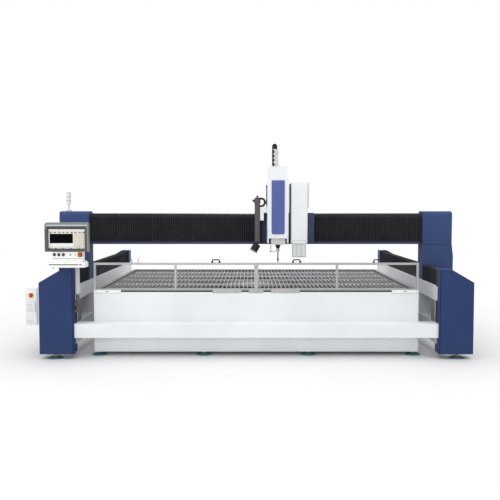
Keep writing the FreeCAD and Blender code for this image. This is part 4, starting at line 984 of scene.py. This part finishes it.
TUBE = (0.1695, -1.27)
BRACKET = (1.836, 2.033)
SPOT_RUN = Vector((-0.5, 0, -0.8660254))
SPOT_FOOT = Vector((*TUBE, 1.4975))
loop = bent_tube("lamp_loop", [(x, TUBE[1], z) for x, z in (
    (0.203, 2.153), (0.245, 2.153), (0.276, 2.125), (0.276, 2.071), (0.245, 2.043),
    (0.203, 2.043))], 0.015)
loop_arm = slab("loop_arm", (0.262, -1.284, 2.076), (0.3112, -1.256, 2.120), 0.002)
assembled("lamp_loop_clamp", [loop, loop_arm], "carriage", black_plastic)
fitted(turned("lamp_lock_knob", (0.134, TUBE[1], 2.122), (-1, 0, 0),
              [(0.008, 0), (0.008, 0.012), (0.017, 0.014), (0.018, 0.018), (0.018, 0.03),
               (0.013, 0.034)], 12), "carriage", black_plastic)
rings = [turned("spot_ring", SPOT_FOOT + SPOT_RUN * along, SPOT_RUN,
                [(0.0532, 0), (0.0562, 0.0015), (0.0562, 0.0055), (0.0532, 0.007)], 32)
         for along in (0.015, 0.032, 0.049, 0.066)]
assembled("spot_rings", rings, "carriage", black_plastic)
fitted(turned("spot_bezel", SPOT_FOOT + SPOT_RUN * 0.1035, SPOT_RUN,
              [(0.0532, 0), (0.0575, 0.001), (0.0575, 0.010), (0.0545, 0.0115)], 32), "carriage",
       pale_plastic)
fitted(turned("spot_lens", SPOT_FOOT + SPOT_RUN * 0.1148, SPOT_RUN,
              [(0.05, 0), (0.05, 0.001), (0.036, 0.005), (0.015, 0.0075)], 32), "carriage", spot_lens)
bracket_front = TUBE[1] - 0.030
faces = [plate("bracket_plate_face", bracket_front, (TUBE[0] + 0.038 + 0.0045, TUBE[0] + 0.092),
               (BRACKET[0] + 0.002, BRACKET[1] - 0.002)),
         plate("bracket_arm_face", bracket_front, (TUBE[0] + 0.0925, housing_low.x - 0.001),
               (BRACKET[1] - 0.078, BRACKET[1] - 0.002))]
assembled("bracket_faces", faces, "carriage", unit_paint)
screws("bracket_screws", [(x, -1.30, z) for x, z in ((0.235, 1.87), (0.235, 1.92), (0.29, 1.99),
                                                     (0.235, 1.99))], 0.007, "carriage")


# Energy chain: side plates, cross bars and pins of each link

LEFT_RUN = (0.3815, 0.4175)
RIGHT_RUN = (0.4265, 0.4725)
LINK_PITCH = 0.060
CHAIN_FOOT = 2.620
BEND = Vector((0.4182, -1.22, 2.900))


def chain_link(left, right, foot, top, turn=0):
    """One link: a plate on each side, a bar on each edge between them, and its pin."""
    middle, waist = (left + right) / 2, (foot + top) / 2
    parts = [slab("link_plate", (left, y, foot), (right, y + 0.007, top), 0.002)
             for y in (-1.2470, -1.2000)]
    parts += [slab("link_bar", (x, -1.2405, waist - 0.007), (x + 0.004, -1.1995, waist + 0.007), 0.001)
              for x in (left, right - 0.004)]
    parts.append(rod("link_pin", (middle, -1.2476, foot + 0.012), (middle, -1.1925, foot + 0.012),
                     0.0055, 0.0005, 12))
    link = joined("chain_link", parts)
    if turn:
        opened(link)
        bpy.ops.transform.rotate(value=math.radians(turn), orient_axis="Y", center_override=BEND)
        bpy.ops.object.mode_set(mode="OBJECT")
    return link


def chain_block(name, across, upright, deep=(-1.246, -1.194)):
    """A block of the chain between two places across, two heights and two depths."""
    return slab(name, (across[0], deep[0], upright[0]), (across[1], deep[1], upright[1]))


SPINE_DEPTH = (-1.2455, -1.1945)
dark_links, pale_links, bars = [], [], []
for step in range(4):
    z = CHAIN_FOOT + LINK_PITCH * step
    spine = (z + 0.030, z + 0.066)
    dark_links += [chain_link(*LEFT_RUN, z, z + 0.044),
                   chain_block("dark_spine", (0.3815, 0.3935), spine, SPINE_DEPTH)]
    bars.append(chain_block("left_bar", (0.394, 0.4165), (z + 0.0455, z + 0.0585), (-1.244, -1.196)))
    pale_links += [chain_link(*RIGHT_RUN, z, z + 0.052),
                   chain_block("pale_spine", (0.4615, 0.4725), spine, SPINE_DEPTH)]
dark_links += [chain_link(left, left + 0.036, 2.860, 2.902) for left in (0.3815, 0.4190)]
dark_links += [chain_link(BEND.x - 0.011, BEND.x + 0.011, BEND.z + 0.004, BEND.z + 0.0358, turn)
               for turn in (-72, -36, 0, 36, 72)]
dark_links.append(rod("bend_core", (BEND.x, -1.2380, BEND.z), (BEND.x, -1.2020, BEND.z), 0.030,
                      0.001, 32))
dark_links.append(chain_block("chain_clamp", LEFT_RUN, (2.612, 2.624)))
low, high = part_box("energy_chain")
pale_links += [slab("chain_foot", (low.x + 0.001, low.y + 0.001, low.z + 0.0002),
                    (high.x - 0.001, high.y - 0.001, low.z + 0.0115)),
               chain_block("pale_clamp", RIGHT_RUN, (2.612, 2.624))]
chain = assembled("black_chain_run", dark_links, "carriage", black_plastic)
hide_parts("energy_chain")
assembled("pale_chain_run", pale_links, "carriage", chain_grey_plastic)
assembled("chain_bars", bars, "carriage", pale_plastic)


# Console: screen, foil, hood edges and keys

panel_low, panel_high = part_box("screen_panel")
face_y = panel_low.y
fitted(plate("screen_glass", face_y, (panel_low.x + 0.0285, panel_low.x + 0.3175),
             (panel_low.z + 0.0785, panel_low.z + 0.2005), -0.0012, 0.0005, 0.0038), "frame",
       screen_glass)
hood_low, hood_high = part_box("console_hood")
beside_panel = (panel_low.z + 0.0002, panel_high.z + 0.012)
for name, across, upright, finish in (
        ("hood_lower_bar", (hood_low.x + 0.010, hood_high.x - 0.014),
         (hood_low.z + 0.002, panel_low.z), bezel_paint),
        ("hood_left_bar", (hood_low.x + 0.006, panel_low.x), beside_panel, bezel_paint),
        ("hood_right_bar", (panel_high.x, hood_high.x - 0.016), beside_panel, bezel_paint),
        ("hood_top_edge", (hood_low.x + 0.028, hood_high.x - 0.012),
         (panel_high.z + 0.043, panel_high.z + 0.060), hood_light)):
    fitted(plate(name, hood_low.y, across, upright, 0.001), "frame", finish)
foil = [plate("foil", face_y, across, upright, 0.0006, 0.0002, 0.0006) for across, upright in (
    ((panel_low.x + 0.002, panel_low.x + 0.0160), (panel_low.z + 0.0772, panel_high.z - 0.058)),
    ((panel_low.x + 0.002, panel_low.x + 0.322), (panel_low.z + 0.0245, panel_low.z + 0.0765)),
    ((panel_low.x + 0.002, panel_high.x - 0.002), (panel_high.z - 0.026, panel_high.z - 0.002)))]
assembled("front_foil", foil, "frame", panel_plastic)
fitted(plate("screen_edge", face_y, (panel_low.x + 0.0165, panel_low.x + 0.0285),
             (panel_low.z + 0.078, panel_low.z + 0.201), 0.0009, 0.0002, 0.0006), "frame",
       screen_glass)
fitted(plate("panel_lower_trim", face_y, (panel_low.x + 0.001, panel_high.x - 0.001),
             (panel_low.z + 0.0006, panel_low.z + 0.0075), 0.0012, 0.0002, 0.0006), "frame",
       bezel_paint)
fitted(slab("hood_backing", (hood_low.x + 0.0262, panel_high.y - 0.003, hood_low.z + 0.0262),
            (hood_high.x - 0.0262, panel_high.y - 0.0002, hood_high.z - 0.0522), 0.0005), "frame",
       tube_and_shade_grey_paint)


def key_rows(name, places, size, finish, proud=0.003):
    """Keys of one size on the front panel."""
    wide, high = size
    key = plate("key", face_y, (-wide / 2, wide / 2), (-high / 2, high / 2), proud, 0.0012)
    fitted(copied(name, key, [(x, 0, z) for x, z in places]), "frame", finish)


UPPER_KEYS = (-2.526, -2.470, -2.415, -2.363, -2.309, -2.252, -2.202, -2.148, -2.098)
LOWER_KEYS = (-2.540, -2.465, -2.370, -2.266, -2.162)
PAD_KEY = (0.0185, 0.0150)
PAD_PROUD = 0.0022
pad_x = evenly(-2.214, -2.100, 5)
pad_z = evenly(1.515, 1.672, 7)
key_rows("upper_keys", [(x, 1.697) for x in UPPER_KEYS], (0.024, 0.013), tube_and_shade_grey_paint)
key_rows("lower_keys", [(x, 1.485) for x in LOWER_KEYS], (0.030, 0.012), bezel_paint)
key_rows("keypad", [(x, z) for column, x in enumerate(pad_x) for row, z in enumerate(pad_z)
                    if row or column < 2], PAD_KEY, pad_key_plastic, PAD_PROUD)
key_rows("start_key", [(pad_x[2], pad_z[0])], PAD_KEY, green_plastic, PAD_PROUD)
key_rows("clear_keys", [(x, pad_z[0]) for x in pad_x[3:]], PAD_KEY, pale_plastic, PAD_PROUD)
key_rows("soft_keys", [(x, 1.534) for x in evenly(-2.515, -2.255, 8)], (0.022, 0.013),
         console_paint, 0.002)


# Console: knob pointers, lamp, key switch and stop plate of the button panel

BUTTON_ROW = 1.408
low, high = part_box("button_panel")
button_y = low.y
fitted(plate("button_panel_seam", button_y, (low.x + 0.006, high.x - 0.006), (1.3535, 1.3585),
             0.0008, 0.0003), "frame", hood_paint)


def panel_boss(name, x, steps, sides=28, y=button_y, z=BUTTON_ROW):
    """A turned part that stands out of the button panel."""
    return turned(name, (x, y, z), TO_FRONT, steps, sides)


KNOBS = (-2.480, -2.421, -2.362)
READY_LAMP = -2.271
KEY_SWITCH = -2.207
pointers = [plate("pointer", button_y, (x - 0.0012, x + 0.0012), (1.4085, 1.4235), 0.0268, 0.0004,
                  -0.0255) for x in KNOBS]
bezels = [panel_boss("bezel", x, [(0.020, 0), (0.020, 0.0025), (0.0165, 0.0045)]) for x in KNOBS]
assembled("knob_pointers", pointers, "frame", pale_plastic)
assembled("knob_bezels", bezels, "frame", black_plastic)
fitted(panel_boss("ready_lamp_bezel", READY_LAMP, [(0.0145, 0), (0.0145, 0.003), (0.012, 0.0045)]),
       "frame", bright_steel)
fitted(panel_boss("ready_lamp", READY_LAMP, [(0.0112, 0), (0.0112, 0.005), (0.008, 0.009),
                                             (0.003, 0.0105)], 24, button_y - 0.004),
       "frame", green_plastic)
fitted(panel_boss("key_switch", KEY_SWITCH, [(0.0105, 0), (0.0105, 0.004), (0.008, 0.006)], 24,
                  z=1.405), "frame", bright_steel)
fitted(plate("key_grip", button_y, (KEY_SWITCH - 0.0015, KEY_SWITCH + 0.0015), (1.396, 1.414), 0.018,
             0.0008, -0.005), "frame", red_plastic)
fitted(plate("stop_plate", button_y, (-2.181, -2.1118), (1.3745, 1.4455), 0.0003, 0.0001, 0.0005),
       "frame", yellow_plastic)


# Console: black strips of painted shade in the drawer slots, lock knob, post rings and clamp bolts

shelf_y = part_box("keyboard_shelf")[0].y
# Black strips at the back of the drawer slots: painted shade in the recess
assembled("drawer_slot_shade_strips",
          [plate("slot_shade_strip", shelf_y, across, (1.2852, 1.2968), -0.0100, 0.0003, 0.0115)
           for across in ((-2.5005, -2.124), (-2.112, -2.0765))], "frame", rubber_and_shade_black)
fitted(turned("shelf_lock_knob", (-2.451, -2.41, 1.2552), (0, 0, -1),
              [(0.006, 0), (0.006, 0.003), (0.011, 0.004), (0.0115, 0.006), (0.011, 0.012),
               (0.008, 0.014)], 16), "frame", black_plastic)
low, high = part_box("console_post")
post_spot = ((low.x + high.x) / 2, (low.y + high.y) / 2)
collars = [turned("post_top_flange", (*post_spot, 1.243), UP,
                  [(0.033, 0), (0.052, 0.002), (0.052, 0.0118)], 32),
           turned("post_low_ring", (*post_spot, 0.8605), UP,
                  [(0.0325, 0), (0.0355, 0.002), (0.0355, 0.016), (0.0325, 0.018)], 32)]
assembled("post_rings", collars, "frame", hood_paint)
screws("clamp_bolts", spread((-2.268, -2.228), -2.07, (0.645, 0.735)), 0.006, "frame", trim_and_shade_dark)


# Electrical cabinet: latch, seams, ribs and the plate behind the switch

DOOR_Y = -1.66
latch = [plate("latch_plate", DOOR_Y, (-2.936, -2.914), (0.565, 0.711), 0.0022, 0.0008),
         plate("latch_grip", DOOR_Y, (-2.9315, -2.9185), (0.590, 0.686), 0.0135, 0.003, -0.001)]
assembled("door_latch", latch, "door", cabinet_seam_paint)
seams = [plate("door_seam", DOOR_Y, (-3.052, -2.955), (z, z + high), 0.0007, 0.0003)
         for z, high in ((0.418, 0.006), (0.449, 0.006), (0.582, 0.008))]
assembled("door_seams", seams, "door", hood_light)
ribs = [plate("door_rib", DOOR_Y, (-3.052, -2.962), (z, z + 0.005), 0.0007, 0.0003)
        for z in (0.602, 0.620, 0.638, 0.656, 0.674)]
assembled("door_ribs", ribs, "door", cabinet_seam_paint)
fitted(slab("switch_yellow_plate", (-3.0133, -1.66622, 0.7712), (-2.9437, -1.6655, 0.8408), 0.0001),
       "door", yellow_plastic)
fitted(slab("switch_mark", (-2.9800, -1.6912, 0.8150), (-2.9770, -1.6901, 0.8330), 0.0003), "switch",
       pale_plastic)
fitted(plate("cabinet_side_seam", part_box("electrical_cabinet")[0].y, (-2.8975, -2.8945),
             (0.385, 0.908), 0.001, 0.0003), "frame", hood_paint)


# Floor, light and camera

WHITE = (1, 1, 1)
BLACK = (0, 0, 0)
floor_finish = Finish("studio_floor")
floor_tone = floor_finish.mixed((0.80, 0.80, 0.80), (0.82, 0.82, 0.82), floor_finish.noise(0.3, 3))
away = floor_finish.node("ShaderNodeVectorMath", {"operation": "LENGTH"}, {0: floor_finish.place},
                         "Value")
seen_far = floor_finish.ramp(away, 3.8, 8.5) * floor_finish.seen("Is Camera Ray")
floor_paint = floor_finish.surface(
    floor_finish.mixed(floor_tone, BLACK, seen_far), 0.75, Specular_IOR_Level=0.1,
    Emission_Color=floor_finish.mixed(BLACK, WHITE, seen_far), Emission_Strength=1)
let_go()
bpy.ops.mesh.primitive_plane_add(size=36, location=ORIGIN)
studio_floor = settle("studio_floor")
studio_floor.data.materials.append(floor_paint)

world = bpy.data.worlds.new("studio")
bpy.context.scene.world = world
sky = NodeBoard(world)
mirrored = sky.larger(sky.seen("Is Camera Ray"), sky.seen("Is Glossy Ray"))
shown = sky.larger(mirrored, sky.seen("Is Transmission Ray"))
strength = sky.node("ShaderNodeMapRange", None, {"Value": shown, "To Min": 0.45, "To Max": 1.0})
backdrop = sky.node("ShaderNodeBackground", None, {"Color": (*WHITE, 1), "Strength": strength})
sky.close("ShaderNodeOutputWorld", backdrop)


def softbox(name, place, target, size, power):
    """A large soft studio lamp."""
    lamp = bpy.data.lights.new(name, "AREA")
    lamp.shape = "RECTANGLE"
    lamp.size, lamp.size_y = size
    lamp.energy = power
    holder = bpy.data.objects.new(name, lamp)
    holder.location = place
    aim = Vector(target) - Vector(place)
    holder.rotation_euler = aim.to_track_quat("-Z", "Y").to_euler()
    bpy.context.collection.objects.link(holder)


softbox("overhead_softbox", (0, 0, 25.0), ORIGIN, (60, 60), 12500)
softbox("front_softbox", (-3.0, -14.0, 4.5), (0, 0, 1.0), (7, 4), 350)

camera_data = bpy.data.cameras.new("photo_camera")
camera_data.lens = 50
camera_data.sensor_width = 36
camera_data.clip_end = 200
camera = bpy.data.objects.new("photo_camera", camera_data)
camera.location = (0.0645, -11.26, 1.99)
camera.rotation_euler = (math.radians(86.69), 0, 0)
bpy.context.collection.objects.link(camera)
scene = bpy.context.scene
scene.camera = camera
scene.view_settings.view_transform = "Standard"
